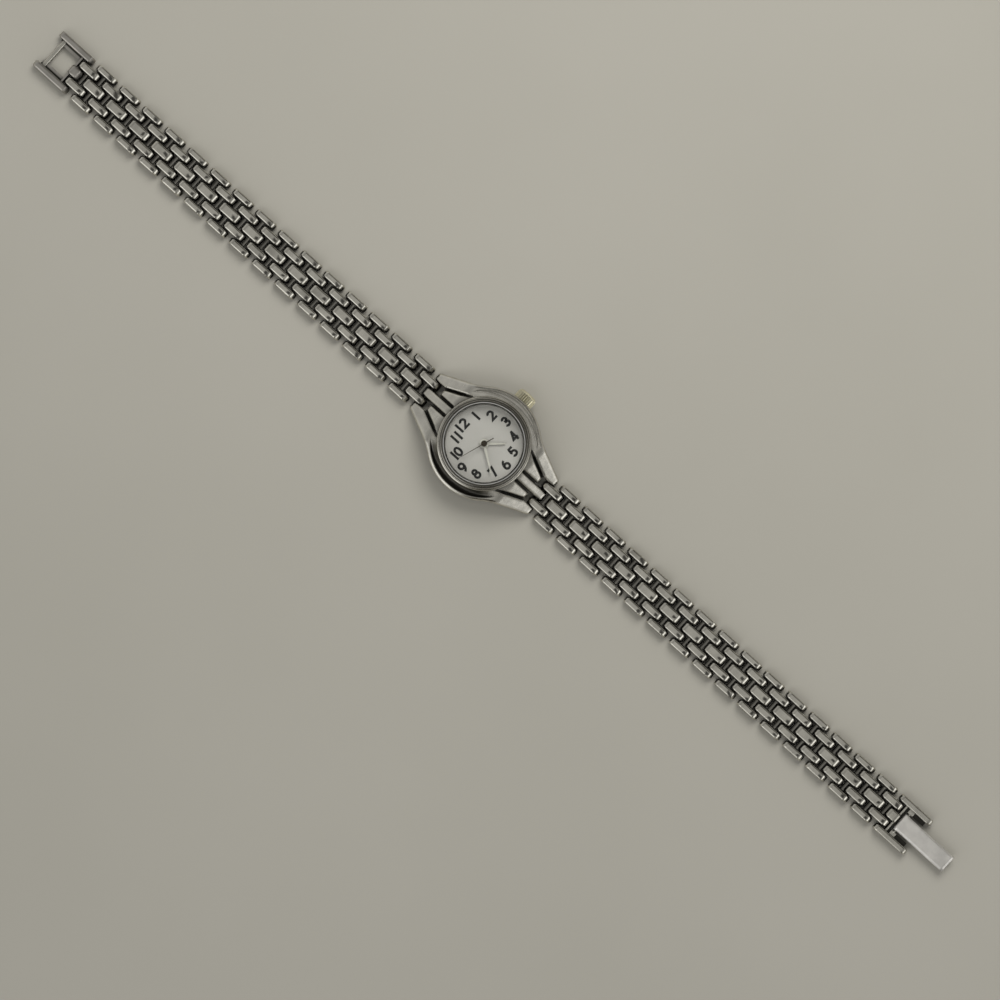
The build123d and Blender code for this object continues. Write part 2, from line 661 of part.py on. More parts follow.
def hand(length, width, hub_radius, bore, low, turn_degrees, tail=0):
    """A tapered hand that points at the given clockwise angle from twelve."""
    tip = width * HAND_TIP_SHARE / 2
    half = width / 2
    right = [(half, -tail), (half, 0), (tip, length)]
    left = [(-x, y) for x, y in reversed(right)]
    plan = Polygon(*right, *left, align=None) + Circle(hub_radius)
    if bore > 0:
        plan -= Circle(bore)
    return extrude(Pos(0, 0, low) * Rot(0, 0, -turn_degrees) * plan, HAND_THICKNESS)


def hand_floor(number):
    """The height of a hand's underside, counted up from the dial."""
    return DIAL_TOP + HAND_FIRST_GAP + number * HAND_SPACING


def hand_turns():
    """The clockwise angles of the hour, minute and second hands."""
    minutes = MINUTE_SHOWN + SECOND_SHOWN / 60
    hours = HOUR_SHOWN + minutes / 60
    return 30 * hours, 6 * minutes, 6 * SECOND_SHOWN


def make_hour_hand():
    hub = HOUR_PIPE_RADIUS + HOUR_HUB_RIM
    return hand(HOUR_HAND_LENGTH, HOUR_HAND_WIDTH, hub, HOUR_PIPE_RADIUS, hand_floor(0), hand_turns()[0])


def make_minute_hand():
    hub = CANNON_RADIUS + MINUTE_HUB_RIM
    return hand(MINUTE_HAND_LENGTH, MINUTE_HAND_WIDTH, hub, CANNON_RADIUS, hand_floor(1), hand_turns()[1])


def make_second_hand():
    turn = hand_turns()[2]
    low = hand_floor(2)
    return hand(SECOND_HAND_LENGTH, SECOND_HAND_WIDTH, SECOND_HUB_RADIUS, 0, low, turn, SECOND_HAND_TAIL)


def gear(teeth, module, low, high, centre, phase_degrees):
    """A toothed disc whose first tooth points along the phase angle."""
    pitch = teeth * module / 2
    root = pitch - DEDENDUM_SHARE * module
    tip = pitch + ADDENDUM_SHARE * module
    step = 360 / teeth
    left = [(root, -ROOT_TOOTH_SHARE), (tip, -TIP_TOOTH_SHARE)]
    tooth = left + [(radius, -share) for radius, share in reversed(left)]
    corners = []
    for number in range(teeth):
        middle = phase_degrees + number * step
        for radius, share in tooth:
            point = polar(radius, middle + share * step / 2)
            corners.append((point.X, point.Y))
    return extrude(Pos(centre.X, centre.Y, low) * Polygon(*corners, align=None), high - low)


def mesh_module(distance, first_teeth, second_teeth):
    """The module at which two gears meet at a centre distance."""
    return 2 * distance / (first_teeth + second_teeth)


def wheel_floor(level):
    """The underside of a train wheel, counted up from the bridge."""
    return BRIDGE_TOP + FIRST_WHEEL_GAP + level * WHEEL_SPACING


def wheel(level, teeth, module, centre, phase):
    low = wheel_floor(level)
    return gear(teeth, module, low, low + WHEEL_THICKNESS, centre, phase)


def pinion(level, teeth, module, centre, phase):
    low = wheel_floor(level) - PINION_EXTRA
    high = wheel_floor(level) + WHEEL_THICKNESS + PINION_EXTRA
    return gear(teeth, module, low, high, centre, phase)


def facing(degrees, teeth):
    """The phase that puts a gear's gap on the line towards the gear that drives it."""
    return degrees + 180 + 180 / teeth


def arbor(centre, top):
    """The thin shaft of a wheel, from inside the bridge up to a height."""
    return disc(ARBOR_RADIUS, MOVEMENT_FLOOR + RUNNING_GAP, top, centre)


def make_rotor():
    low = wheel_floor(1)
    solid = disc(MAGNET_RADIUS, low, low + MAGNET_HEIGHT, ROTOR)
    module = mesh_module(ROTOR_DISTANCE, ROTOR_TEETH, INTERMEDIATE_TEETH)
    solid += pinion(0, ROTOR_TEETH, module, ROTOR, ROTOR_DEGREES + 180)
    return solid + arbor(ROTOR, PLATE_TOP - RUNNING_GAP)


def make_intermediate_wheel():
    module = mesh_module(ROTOR_DISTANCE, ROTOR_TEETH, INTERMEDIATE_TEETH)
    phase = facing(ROTOR_DEGREES + 180, INTERMEDIATE_TEETH)
    solid = wheel(0, INTERMEDIATE_TEETH, module, INTERMEDIATE, phase)
    fine = mesh_module(TRAIN_DISTANCE, INTERMEDIATE_PINION_TEETH, SECONDS_TEETH)
    solid += pinion(1, INTERMEDIATE_PINION_TEETH, fine, INTERMEDIATE, INTERMEDIATE_DEGREES + 180)
    return solid + arbor(INTERMEDIATE, PLATE_TOP - RUNNING_GAP)


def make_seconds_wheel():
    module = mesh_module(TRAIN_DISTANCE, INTERMEDIATE_PINION_TEETH, SECONDS_TEETH)
    phase = facing(INTERMEDIATE_DEGREES + 180, SECONDS_TEETH)
    solid = wheel(1, SECONDS_TEETH, module, CENTRE, phase)
    fine = mesh_module(TRAIN_DISTANCE, SECONDS_PINION_TEETH, THIRD_TEETH)
    solid += pinion(2, SECONDS_PINION_TEETH, fine, CENTRE, THIRD_DEGREES)
    return solid + arbor(CENTRE, hand_floor(2))


def make_third_wheel():
    module = mesh_module(TRAIN_DISTANCE, SECONDS_PINION_TEETH, THIRD_TEETH)
    solid = wheel(2, THIRD_TEETH, module, THIRD, facing(THIRD_DEGREES, THIRD_TEETH))
    fine = mesh_module(TRAIN_DISTANCE, THIRD_PINION_TEETH, CENTRE_TEETH)
    solid += pinion(3, THIRD_PINION_TEETH, fine, THIRD, THIRD_DEGREES + 180)
    return solid + arbor(THIRD, PLATE_TOP - RUNNING_GAP)


def motion_floor(level):
    """The underside of a motion wheel, counted up from the main plate."""
    return PLATE_TOP + MOTION_GAP + level * MOTION_SPACING


def make_center_wheel():
    """The wheel that turns once an hour, with the pipe that carries the minute hand."""
    module = mesh_module(TRAIN_DISTANCE, THIRD_PINION_TEETH, CENTRE_TEETH)
    solid = wheel(3, CENTRE_TEETH, module, CENTRE, facing(THIRD_DEGREES + 180, CENTRE_TEETH))
    solid += disc(CANNON_RADIUS, wheel_floor(3), hand_floor(1) + HAND_THICKNESS)
    cannon = mesh_module(MOTION_DISTANCE, CANNON_TEETH, MINUTE_WHEEL_TEETH)
    low = motion_floor(0)
    solid += gear(CANNON_TEETH, cannon, low, low + MOTION_THICKNESS, CENTRE, MOTION_DEGREES)
    return solid - disc(CANNON_BORE_RADIUS, 0, BEZEL_TOP)


def make_minute_wheel():
    """The idler between the minute pipe and the hour wheel, on its post."""
    module = mesh_module(MOTION_DISTANCE, CANNON_TEETH, MINUTE_WHEEL_TEETH)
    low = motion_floor(0)
    phase = facing(MOTION_DEGREES, MINUTE_WHEEL_TEETH)
    solid = gear(MINUTE_WHEEL_TEETH, module, low, low + MOTION_THICKNESS, MINUTE_AXIS, phase)
    fine = mesh_module(MOTION_DISTANCE, MINUTE_PINION_TEETH, HOUR_TEETH)
    top = motion_floor(1) + MOTION_THICKNESS
    solid += gear(MINUTE_PINION_TEETH, fine, low, top, MINUTE_AXIS, MOTION_DEGREES + 180)
    return solid - disc(POST_RADIUS + RUNNING_GAP, 0, BEZEL_TOP, MINUTE_AXIS)


def make_hour_wheel():
    """The wheel that turns once in twelve hours, with the pipe of the hour hand."""
    module = mesh_module(MOTION_DISTANCE, MINUTE_PINION_TEETH, HOUR_TEETH)
    low = motion_floor(1)
    phase = facing(MOTION_DEGREES + 180, HOUR_TEETH)
    solid = gear(HOUR_TEETH, module, low, low + MOTION_THICKNESS, CENTRE, phase)
    solid += disc(HOUR_PIPE_RADIUS, low, hand_floor(0) + HAND_THICKNESS)
    return solid - disc(CANNON_RADIUS + RUNNING_GAP, 0, BEZEL_TOP)


def make_main_plate():
    """The upper plate, with its rim under the dial, its pillars and its pivot holes."""
    solid = disc(MOVEMENT_RADIUS, PLATE_FLOOR, PLATE_TOP)
    solid += ring(MOVEMENT_RADIUS, MOVEMENT_RADIUS - PLATE_RIM_WIDTH, PLATE_FLOOR, DIAL_FLOOR)
    for degrees in PILLAR_DEGREES:
        place = polar(MOVEMENT_RADIUS - PILLAR_INSET, degrees)
        solid += disc(PILLAR_RADIUS, BRIDGE_TOP, PLATE_TOP, place)
    for centre in (ROTOR, INTERMEDIATE, THIRD):
        solid -= disc(ARBOR_RADIUS + RUNNING_GAP, 0, BEZEL_TOP, centre)
    solid -= disc(CANNON_RADIUS + RUNNING_GAP, 0, BEZEL_TOP)
    for foot in dial_feet():
        solid -= disc(DIAL_FOOT_RADIUS, PLATE_TOP - DIAL_FOOT_HOLD, BEZEL_TOP, foot)
    return solid + disc(POST_RADIUS, PLATE_TOP, motion_floor(1) + MOTION_THICKNESS, MINUTE_AXIS)


def make_train_bridge():
    """The lower plate, cut away round the battery."""
    solid = disc(BRIDGE_RADIUS, MOVEMENT_FLOOR, BRIDGE_TOP)
    for centre in (ROTOR, INTERMEDIATE, THIRD, CENTRE):
        solid -= disc(ARBOR_RADIUS + RUNNING_GAP, 0, BEZEL_TOP, centre)
    return solid - disc(BATTERY_RADIUS + BATTERY_GAP, 0, BEZEL_TOP, Vector(0, -BATTERY_PLACE))


def make_battery():
    """A small round cell with a narrower cap at its lower face."""
    place = Vector(0, -BATTERY_PLACE)
    low = PLATE_FLOOR - BATTERY_HEIGHT
    solid = disc(BATTERY_RADIUS, low + BATTERY_CAP_HEIGHT, PLATE_FLOOR, place)
    return solid + disc(BATTERY_RADIUS - BATTERY_CAP_INSET, low, PLATE_FLOOR, place)


def make_stator_coil():
    """The motor's steel stator round the rotor, and the coil on its core."""
    low = COIL_HEIGHT - STATOR_THICKNESS / 2
    high = COIL_HEIGHT + STATOR_THICKNESS / 2
    hole = MAGNET_RADIUS + STATOR_HOLE_GAP
    stator = disc(hole + STATOR_RING_WIDTH, low, high, ROTOR)
    neck = (ROTOR.X - STATOR_ARM_WIDTH / 2, ROTOR.X + STATOR_ARM_WIDTH / 2)
    yoke = (STATOR_Y - STATOR_ARM_WIDTH / 2, STATOR_Y + STATOR_ARM_WIDTH / 2)
    stator += slab(neck, (ROTOR.Y, STATOR_Y), (low, high))
    stator += slab((-STATOR_HALF_LENGTH, STATOR_HALF_LENGTH), yoke, (low, high))
    for side in (1, -1):
        leg = (side * STATOR_HALF_LENGTH, side * (STATOR_HALF_LENGTH - STATOR_ARM_WIDTH))
        stator += slab(leg, (STATOR_Y, COIL_Y + STATOR_ARM_WIDTH / 2), (low, high))
    core = (COIL_Y - STATOR_THICKNESS / 2, COIL_Y + STATOR_THICKNESS / 2)
    core_bar = slab((-STATOR_HALF_LENGTH, STATOR_HALF_LENGTH), core, (low, high))
    stator = stator - disc(hole, 0, BEZEL_TOP, ROTOR) + core_bar
    coil = cross_rod(COIL_RADIUS, COIL_HALF_LENGTH, COIL_Y, COIL_HEIGHT) - core_bar
    return [stator, coil]


def make_movement_ring():
    """The plastic ring between the movement and the case, notched for the stem."""
    inner = MOVEMENT_RADIUS + RING_GAP
    low = BACK_THICKNESS + BACK_GASKET_HEIGHT + RING_GAP
    solid = ring(HOLLOW_RADIUS - RING_GAP, inner, low, HOLLOW_TOP - RING_GAP)
    return solid - stem_hole(STEM_RADIUS + RUNNING_GAP, STEM_INNER_X, CROWN_OUTER_X)


def make_stem():
    return stem_hole(STEM_RADIUS, STEM_INNER_X, CROWN_OUTER_X - STEM_HOLD)


def make_crown():
    """A fluted knob with a rounded outer edge and a cell for its seal."""
    round_blank = stem_hole(CROWN_RADIUS, CROWN_INNER_X, CROWN_OUTER_X)
    end = round_blank.faces().sort_by(Axis.X)[-1]
    solid = fillet(end.edges(), CROWN_ROUND)
    flutes = PolarLocations(CROWN_RADIUS, CROWN_FLUTES) * Circle(CROWN_FLUTE_RADIUS)
    place = Plane.YZ.offset(CROWN_INNER_X - OVERRUN) * Pos(0, STEM_HEIGHT)
    cut_length = CROWN_OUTER_X - CROWN_INNER_X + 2 * OVERRUN
    for flute in flutes:
        solid -= extrude(place * flute, cut_length)
    solid -= stem_hole(CROWN_CELL_RADIUS, CROWN_INNER_X - OVERRUN, CROWN_INNER_X + CROWN_CELL_DEPTH)
    return solid - stem_hole(STEM_RADIUS, CROWN_INNER_X, CROWN_OUTER_X - STEM_HOLD)


def make_crown_gasket():
    """The seal in the crown's cell, round the stem."""
    low = CROWN_INNER_X + CROWN_GASKET_GAP
    high = CROWN_INNER_X + CROWN_CELL_DEPTH - CROWN_GASKET_GAP
    outer = stem_hole(CROWN_CELL_RADIUS - CROWN_GASKET_GAP, low, high)
    return outer - stem_hole(STEM_RADIUS + CROWN_GASKET_GAP, low - OVERRUN, high + OVERRUN)


def clasp_body(end_y):
    """The outer rails, the centre stub and the end web that both clasp halves share."""
    solid = bar_pair(OUTER_BAR_START, HALF_BAND, CLASP_PIN_Y, end_y - PIN_HEIGHT)
    web_end = END_WEB_Y + END_WEB_LENGTH
    solid += bar(-HALF_CENTRE, HALF_CENTRE, CLASP_PIN_Y, web_end - PIN_HEIGHT + BAR_ROUND)
    inside = OUTER_BAR_START + BAR_ROUND
    solid += slab((-inside, inside), (END_WEB_Y, web_end), (LEDGE_FLOOR, LINK_HEIGHT - WEB_RECESS))
    for side in (1, -1):
        ledge = (side * OPENING_HALF_WIDTH, side * inside)
        solid += slab(ledge, (END_WEB_Y, end_y - PIN_HEIGHT), (LEDGE_FLOOR, LEDGE_HEIGHT))
    hole = cross_rod(PIN_RADIUS + RUNNING_GAP, PIN_REACH + RUNNING_GAP, CLASP_PIN_Y, PIN_HEIGHT)
    return solid - hole


def make_hook_bar():
    """The round bar that the lever closes over."""
    return cross_rod(HOOK_BAR_RADIUS, OUTER_BAR_START + HOOK_BAR_HOLD, HOOK_BAR_Y, PIN_HEIGHT)


def make_hook_frame():
    return clasp_body(CLASP_PIN_Y + HOOK_LENGTH) - make_hook_bar()


def blade_pin(gap, half_length):
    return cross_rod(BLADE_PIN_RADIUS + gap, half_length, HINGE_Y, HINGE_HEIGHT)


def make_clasp_frame():
    """The lever half, with the low plate behind the blade's hinge."""
    solid = clasp_body(CLASP_PIN_Y + LEVER_FRAME_LENGTH)
    inside = OUTER_BAR_START + BAR_ROUND
    plate = (END_WEB_Y, END_WEB_Y + LEVER_PLATE_LENGTH)
    solid += slab((-inside, inside), plate, (LEDGE_FLOOR, LEVER_PLATE_TOP))
    for side in (1, -1):
        cheek = (side * OPENING_HALF_WIDTH, side * inside)
        length = (HINGE_Y - BLADE_KNUCKLE_RADIUS, HINGE_Y + BLADE_KNUCKLE_RADIUS)
        solid += slab(cheek, length, (LEDGE_FLOOR, LINK_HEIGHT - BAR_ROUND))
    return solid - blade_pin(0, OPENING_HALF_WIDTH + BLADE_PIN_HOLD)


def make_clasp_pin():
    return blade_pin(0, OPENING_HALF_WIDTH + BLADE_PIN_HOLD)


def make_clasp_blade():
    """The flat lever that folds down over the hook's bar, with its turned-down lip."""
    wide = (-BLADE_HALF_WIDTH, BLADE_HALF_WIDTH)
    end = HINGE_Y + BLADE_LENGTH
    top = HINGE_HEIGHT + BLADE_KNUCKLE_RADIUS
    floor = top - BLADE_THICKNESS
    solid = slab(wide, (HINGE_Y, end), (floor, top))
    solid += slab(wide, (end - BLADE_LIP_LENGTH, end), (floor - BLADE_LIP_DROP, top))
    rims = solid.edges().filter_by(Axis.Z) + solid.faces().sort_by(Axis.Z)[-1].edges().filter_by(Axis.Y)
    solid = chamfer([edge for edge in rims if edge.position_at(1 / 2).Y > HINGE_Y], BLADE_EDGE_BEVEL)
    solid += cross_rod(BLADE_KNUCKLE_RADIUS, BLADE_HALF_WIDTH, HINGE_Y, HINGE_HEIGHT)
    return solid - blade_pin(RUNNING_GAP, BLADE_HALF_WIDTH + OVERRUN)


def save(name, *pieces):
    """Writes one node, which may hold several separate solids."""
    solids = [solid for piece in pieces for solid in piece.solids()]
    shape = solids[0] if len(solids) == 1 else Compound(children=solids)
    export_step(shape, "parts/" + name + ".step")


def save_lower(name, *pieces):
    """Writes one node of the six o'clock side, which is the other side turned half round."""
    save(name, *[Rot(0, 0, 180) * piece for piece in pieces])


for group in range(GROUPS_PER_SIDE):
    pieces = link_group(group)
    save(f"upper_links_{group + 1:02d}", *pieces)
    save_lower(f"lower_links_{group + 1:02d}", *pieces)

save("hook_frame", make_hook_frame())
save("hook_bar", make_hook_bar())
save_lower("clasp_frame", make_clasp_frame())
save_lower("clasp_blade", make_clasp_blade())
save_lower("clasp_pin", make_clasp_pin())

save("case", make_case())
save("case_back", make_case_back())
save("case_back_gasket", make_case_back_gasket())
save("bezel", make_bezel())
save("crystal", make_crystal())
save("crystal_gasket", make_crystal_gasket())
save("dial", make_dial())
save("hour_hand", make_hour_hand())
save("minute_hand", make_minute_hand())
save("second_hand", make_second_hand())
save("main_plate", make_main_plate())
save("train_bridge", make_train_bridge())
save("movement_ring", make_movement_ring())
save("rotor", make_rotor())
save("intermediate_wheel", make_intermediate_wheel())
save("seconds_wheel", make_seconds_wheel())
save("third_wheel", make_third_wheel())
save("center_wheel", make_center_wheel())
save("minute_wheel", make_minute_wheel())
save("hour_wheel", make_hour_wheel())
save("stator_coil", *make_stator_coil())
save("battery", make_battery())
save("stem", make_stem())
save("crown", make_crown())
save("crown_gasket", make_crown_gasket())
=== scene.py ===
import json
import math

import bmesh
import bpy
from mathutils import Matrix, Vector


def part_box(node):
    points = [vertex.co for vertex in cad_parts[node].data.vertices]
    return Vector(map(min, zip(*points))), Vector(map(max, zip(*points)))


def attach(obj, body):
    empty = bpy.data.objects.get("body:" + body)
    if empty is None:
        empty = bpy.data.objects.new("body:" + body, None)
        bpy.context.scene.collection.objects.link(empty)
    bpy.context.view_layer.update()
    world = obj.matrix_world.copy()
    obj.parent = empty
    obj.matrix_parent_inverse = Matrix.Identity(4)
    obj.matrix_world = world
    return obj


MM = 0.001

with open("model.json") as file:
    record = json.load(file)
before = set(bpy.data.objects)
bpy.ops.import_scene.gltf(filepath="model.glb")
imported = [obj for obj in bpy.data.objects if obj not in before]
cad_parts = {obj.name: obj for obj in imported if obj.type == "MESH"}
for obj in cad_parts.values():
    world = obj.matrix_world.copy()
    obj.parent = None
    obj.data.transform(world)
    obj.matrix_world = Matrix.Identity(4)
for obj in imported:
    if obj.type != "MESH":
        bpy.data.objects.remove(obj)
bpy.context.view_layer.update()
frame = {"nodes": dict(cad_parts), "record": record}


# Node helpers

OCCLUSION_SAMPLES = 6
BEVEL_SAMPLES = 4

# Cosine between the rounded and the flat normal, from where an edge starts to its full strength
EDGE_COSINES = (0.995, 0.8)

# Values that a noise texture mostly takes, and a narrower range for harder patches
NOISE_RANGE = (0.3, 0.7)
NOISE_CORE = (0.35, 0.65)


class Nodes:
    """A node tree under construction. Its methods give back sockets, and take sockets or constants."""

    def __init__(self, tree):
        self.tree = tree
        self.tree.nodes.clear()

    def add(self, kind, **values):
        node = self.tree.nodes.new(kind)
        for key, value in values.items():
            setattr(node, key, value)
        return node

    def link(self, out, into):
        self.tree.links.new(out, into)

    def feed(self, socket, value):
        """Give a socket another node's result, a colour or a plain value."""
        if isinstance(value, bpy.types.NodeSocket):
            self.link(value, socket)
        elif socket.type == "RGBA":
            socket.default_value = (*value, 1.0)
        else:
            socket.default_value = value

    def ramp(self, value, low, high, out_low=0.0, out_high=1.0, smooth=False):
        node = self.add("ShaderNodeMapRange", interpolation_type="SMOOTHSTEP" if smooth else "LINEAR")
        node.inputs["From Min"].default_value = low
        node.inputs["From Max"].default_value = high
        node.inputs["To Min"].default_value = out_low
        node.inputs["To Max"].default_value = out_high
        self.link(value, node.inputs["Value"])
        return node.outputs["Result"]

    def math(self, operation, *values):
        node = self.add("ShaderNodeMath", operation=operation)
        for socket, value in zip(node.inputs, values):
            self.feed(socket, value)
        return node.outputs["Value"]

    def plus(self, first, second):
        return self.math("ADD", first, second)

    def minus(self, first, second):
        return self.math("SUBTRACT", first, second)

    def times(self, first, second):
        return self.math("MULTIPLY", first, second)

    def larger(self, first, second):
        return self.math("MAXIMUM", first, second)

    def without(self, value, share):
        """The value less a share of itself."""
        return self.times(value, self.minus(1.0, share))

    def vector(self, operation, *values, out="Vector"):
        node = self.add("ShaderNodeVectorMath", operation=operation)
        for socket, value in zip(node.inputs, values):
            self.feed(socket, value)
        return node.outputs[out]

    def split(self, vector, name):
        node = self.add("ShaderNodeSeparateXYZ")
        self.link(vector, node.inputs["Vector"])
        return node.outputs[name]


class Finish(Nodes):
    """One material: its shader, and the object's own coordinates in millimetres."""

    def __init__(self, name):
        self.material = bpy.data.materials.new(name)
        self.material.use_nodes = True
        super().__init__(self.material.node_tree)
        self.output = self.add("ShaderNodeOutputMaterial")
        self.shader = self.add("ShaderNodeBsdfPrincipled")
        self.link(self.shader.outputs["BSDF"], self.output.inputs["Surface"])
        self.place = self.scaled((1, 1, 1))

    def scaled(self, scale, turn=0):
        """The object's own coordinates, scaled per millimetre and turned by some degrees about Z."""
        coordinates = self.add("ShaderNodeTexCoord")
        mapping = self.add("ShaderNodeMapping")
        mapping.inputs["Scale"].default_value = [s / MM for s in scale]
        mapping.inputs["Rotation"].default_value = (0, 0, math.radians(turn))
        self.link(coordinates.outputs["Object"], mapping.inputs["Vector"])
        return mapping.outputs["Vector"]

    def noise(self, scale, detail, rough=0.5, place=None):
        node = self.add("ShaderNodeTexNoise")
        node.inputs["Scale"].default_value = scale
        node.inputs["Detail"].default_value = detail
        node.inputs["Roughness"].default_value = rough
        self.link(place or self.place, node.inputs["Vector"])
        return node.outputs["Fac"]

    def wave(self, scale, distortion, **values):
        node = self.add("ShaderNodeTexWave", **values)
        node.inputs["Scale"].default_value = scale
        node.inputs["Distortion"].default_value = distortion
        self.link(self.place, node.inputs["Vector"])
        return node

    def mix(self, factor, first, second):
        """Two colours mixed."""
        node = self.add("ShaderNodeMix", data_type="RGBA")
        self.link(factor, node.inputs["Factor"])
        colors = [socket for socket in node.inputs if socket.type == "RGBA"]
        for socket, value in zip(colors, (first, second)):
            self.feed(socket, value)
        return next(socket for socket in node.outputs if socket.type == "RGBA")

    def crevice(self, distance, low, high):
        """0 in open places and 1 deep in gaps."""
        node = self.add("ShaderNodeAmbientOcclusion", samples=OCCLUSION_SAMPLES)
        node.inputs["Distance"].default_value = distance * MM
        return self.ramp(node.outputs["AO"], low, high, 1.0, 0.0)

    def rounded(self, radius):
        """The normal as if edges were rounded."""
        node = self.add("ShaderNodeBevel", samples=BEVEL_SAMPLES)
        node.inputs["Radius"].default_value = radius * MM
        return node.outputs["Normal"]

    def edge(self, rounded):
        """0 on faces and up to 1 on the edges between them."""
        flat = self.add("ShaderNodeNewGeometry").outputs["Normal"]
        return self.ramp(self.vector("DOT_PRODUCT", rounded, flat, out="Value"), *EDGE_COSINES)

    def axis(self, name):
        """One of the object's own coordinates, in millimetres."""
        return self.split(self.place, name)

    def aside(self):
        """The distance from the watch's middle line, in millimetres."""
        return self.math("ABSOLUTE", self.axis("X"))

    def outward(self):
        """The direction away from the watch's middle, and the distance from it in millimetres."""
        flat = self.vector("MULTIPLY", self.place, (1, 1, 0))
        return self.vector("NORMALIZE", flat), self.vector("LENGTH", flat, out="Value")

    def band(self, value, low, high, soft):
        """1 between two values, with soft ends outside them."""
        rise = self.ramp(value, low - soft, low)
        return self.math("MINIMUM", rise, self.ramp(value, high, high + soft, 1.0, 0.0))

    def lean(self, normal, direction, amount):
        """The normal leaned towards a direction of the object."""
        turn = self.add("ShaderNodeVectorTransform", vector_type="VECTOR", convert_from="OBJECT",
                        convert_to="WORLD")
        self.feed(turn.inputs["Vector"], direction)
        part = self.add("ShaderNodeVectorMath", operation="SCALE")
        self.link(turn.outputs["Vector"], part.inputs[0])
        self.link(amount, part.inputs["Scale"])
        return self.vector("NORMALIZE", self.vector("ADD", normal, part.outputs["Vector"]))

    def bump(self, height, strength, distance, normal=None):
        node = self.add("ShaderNodeBump")
        node.inputs["Strength"].default_value = strength
        node.inputs["Distance"].default_value = distance * MM
        self.link(height, node.inputs["Height"])
        if normal is not None:
            self.link(normal, node.inputs["Normal"])
        return node.outputs["Normal"]

    def done(self, color, rough, normal, metal=0.0):
        """Set the shader, and give back the material."""
        values = {"Base Color": color, "Roughness": rough, "Normal": normal, "Metallic": metal}
        for name, value in values.items():
            self.feed(self.shader.inputs[name], value)
        return self.material


def shaded(color, factor):
    return tuple(min(1.0, c * factor) for c in color)


# Sizes of the watch that its finishes follow, in millimetres

# The case's hollow beside the bezel: its radii, and where across the case its side painted dark as a
# reflection starts
HOLLOW, HOLLOW_SOFTNESS = (7.75, 8.75), 0.15
HOLLOW_FAR_SIDE = (-4.5, -6.5)

# Radii of the bezel's lines of painted shade and of the two rings between them
SEAL_LINE, RING_LINE, LINE_SOFTNESS = (6.5, 6.92), (7.09, 7.24), 0.05
THIN_RING, WIDE_RING, RINGS_MEET = (6.9, 7.05), (7.25, 7.6), 7.16

# The band: where its inside and its underside end, the rhythm of its links and their bars' columns
BAND_INSIDE = (3.3, 3.6)
BAND_UNDERSIDE = (0.15, 0.35)
LINK_REPEAT = 5.0
UPPER_END, LOWER_END = 3.95, 1.85
INNER_COLUMN, COLUMN_SOFTNESS = (0.95, 2.5), 0.001
INNER_MIDDLE, OUTER_MIDDLE = 1.73, 3.19

# Along and across each bar: its cap, the dip before the cap that gets painted shade, and the part where
# the painted shade is weakest
BAR_CAP, CAP_SOFTNESS = (0.3, 0.75), 0.25
DIP_ALONG, DIP_ALONG_SOFTNESS = (1.0, 1.35), 0.3
DIP_ACROSS, DIP_ACROSS_SOFTNESS = (-0.25, 0.05), 0.2
DIP_WANDER = 1.2
BAR_LEAST_SHADE, LEAST_SHADE_SOFTNESS = (3.9, 4.5), 0.3

# The blade: half its width, and how far in from its edges and its tip they shine
BLADE_HALF = 1.56
BLADE_LEFT_EDGE, BLADE_RIGHT_EDGE, BLADE_TIP = (0.3, 0.6), (0.4, 0.15), (0.2, 0.5)

# The hook half: the line of painted shade inside each rail, the top of the ledge, and the rails' tips
HOOK_LINE, HOOK_LINE_SOFTNESS = (2.37, 2.63), 0.06
HOOK_LEDGE_TOP = (1.1, 1.3)
HOOK_TIP, HOOK_TIP_SOFTNESS = (0.3, 0.6), 0.25

# The crown: its flutes, and how far in from its outer face they end
CROWN_FLUTES = 26
CROWN_RIM = (0.45, 0.3)

COIL_FRAME_WIDTH = 1.45


# Reliefs: changes of the painted shade and the normal that belong to one piece

# Shares of full painted shade, and how far normals lean as a share of their own length
HOLLOW_FLANK = (0.45, 0.7)
HOLLOW_PAINTED_SHADE, HOLLOW_LEAN = 0.85, -0.5
BEZEL_GAP_SHADE, BEZEL_LINE_SHADE = 0.6, 0.95
THIN_RING_LEAN, WIDE_RING_LEAN = (0.1, 0.5), (0.0, 0.6)
DIP_PAINTED_SHADE, BAR_SHADE_EASING = 0.85, 0.45
CAP_LEAN, DIP_LEAN, BAR_LEAN = 0.42, 0.35, 0.6
BLADE_LEFT_LEAN, BLADE_RIGHT_LEAN, BLADE_TIP_LEAN = 0.6, 0.5, 0.6
HOOK_LINE_SHADE = 0.9
CROWN_GAP_SHADE, FLUTE_SHADE, FLUTE_COSINE = 0.5, 0.85, 0.8


def case_relief(f, painted_shade, normal):
    """The hollow loses its painted shade on the crown's side, and on the other side leans inward and is
    painted dark as a dark reflection.
    """
    out, radius = f.outward()
    flank = f.ramp(f.math("DIVIDE", f.aside(), radius), *HOLLOW_FLANK)
    hollow = f.times(f.band(radius, *HOLLOW, HOLLOW_SOFTNESS), flank)
    far_side = f.times(hollow, f.ramp(f.axis("X"), *HOLLOW_FAR_SIDE))
    # Painted shade taken out of the hollow, and a painted dark reflection on its far side
    painted_shade = f.larger(f.without(painted_shade, f.times(hollow, HOLLOW_PAINTED_SHADE)), f.times(far_side, HOLLOW_PAINTED_SHADE))
    return painted_shade, f.lean(normal, out, f.times(far_side, HOLLOW_LEAN))


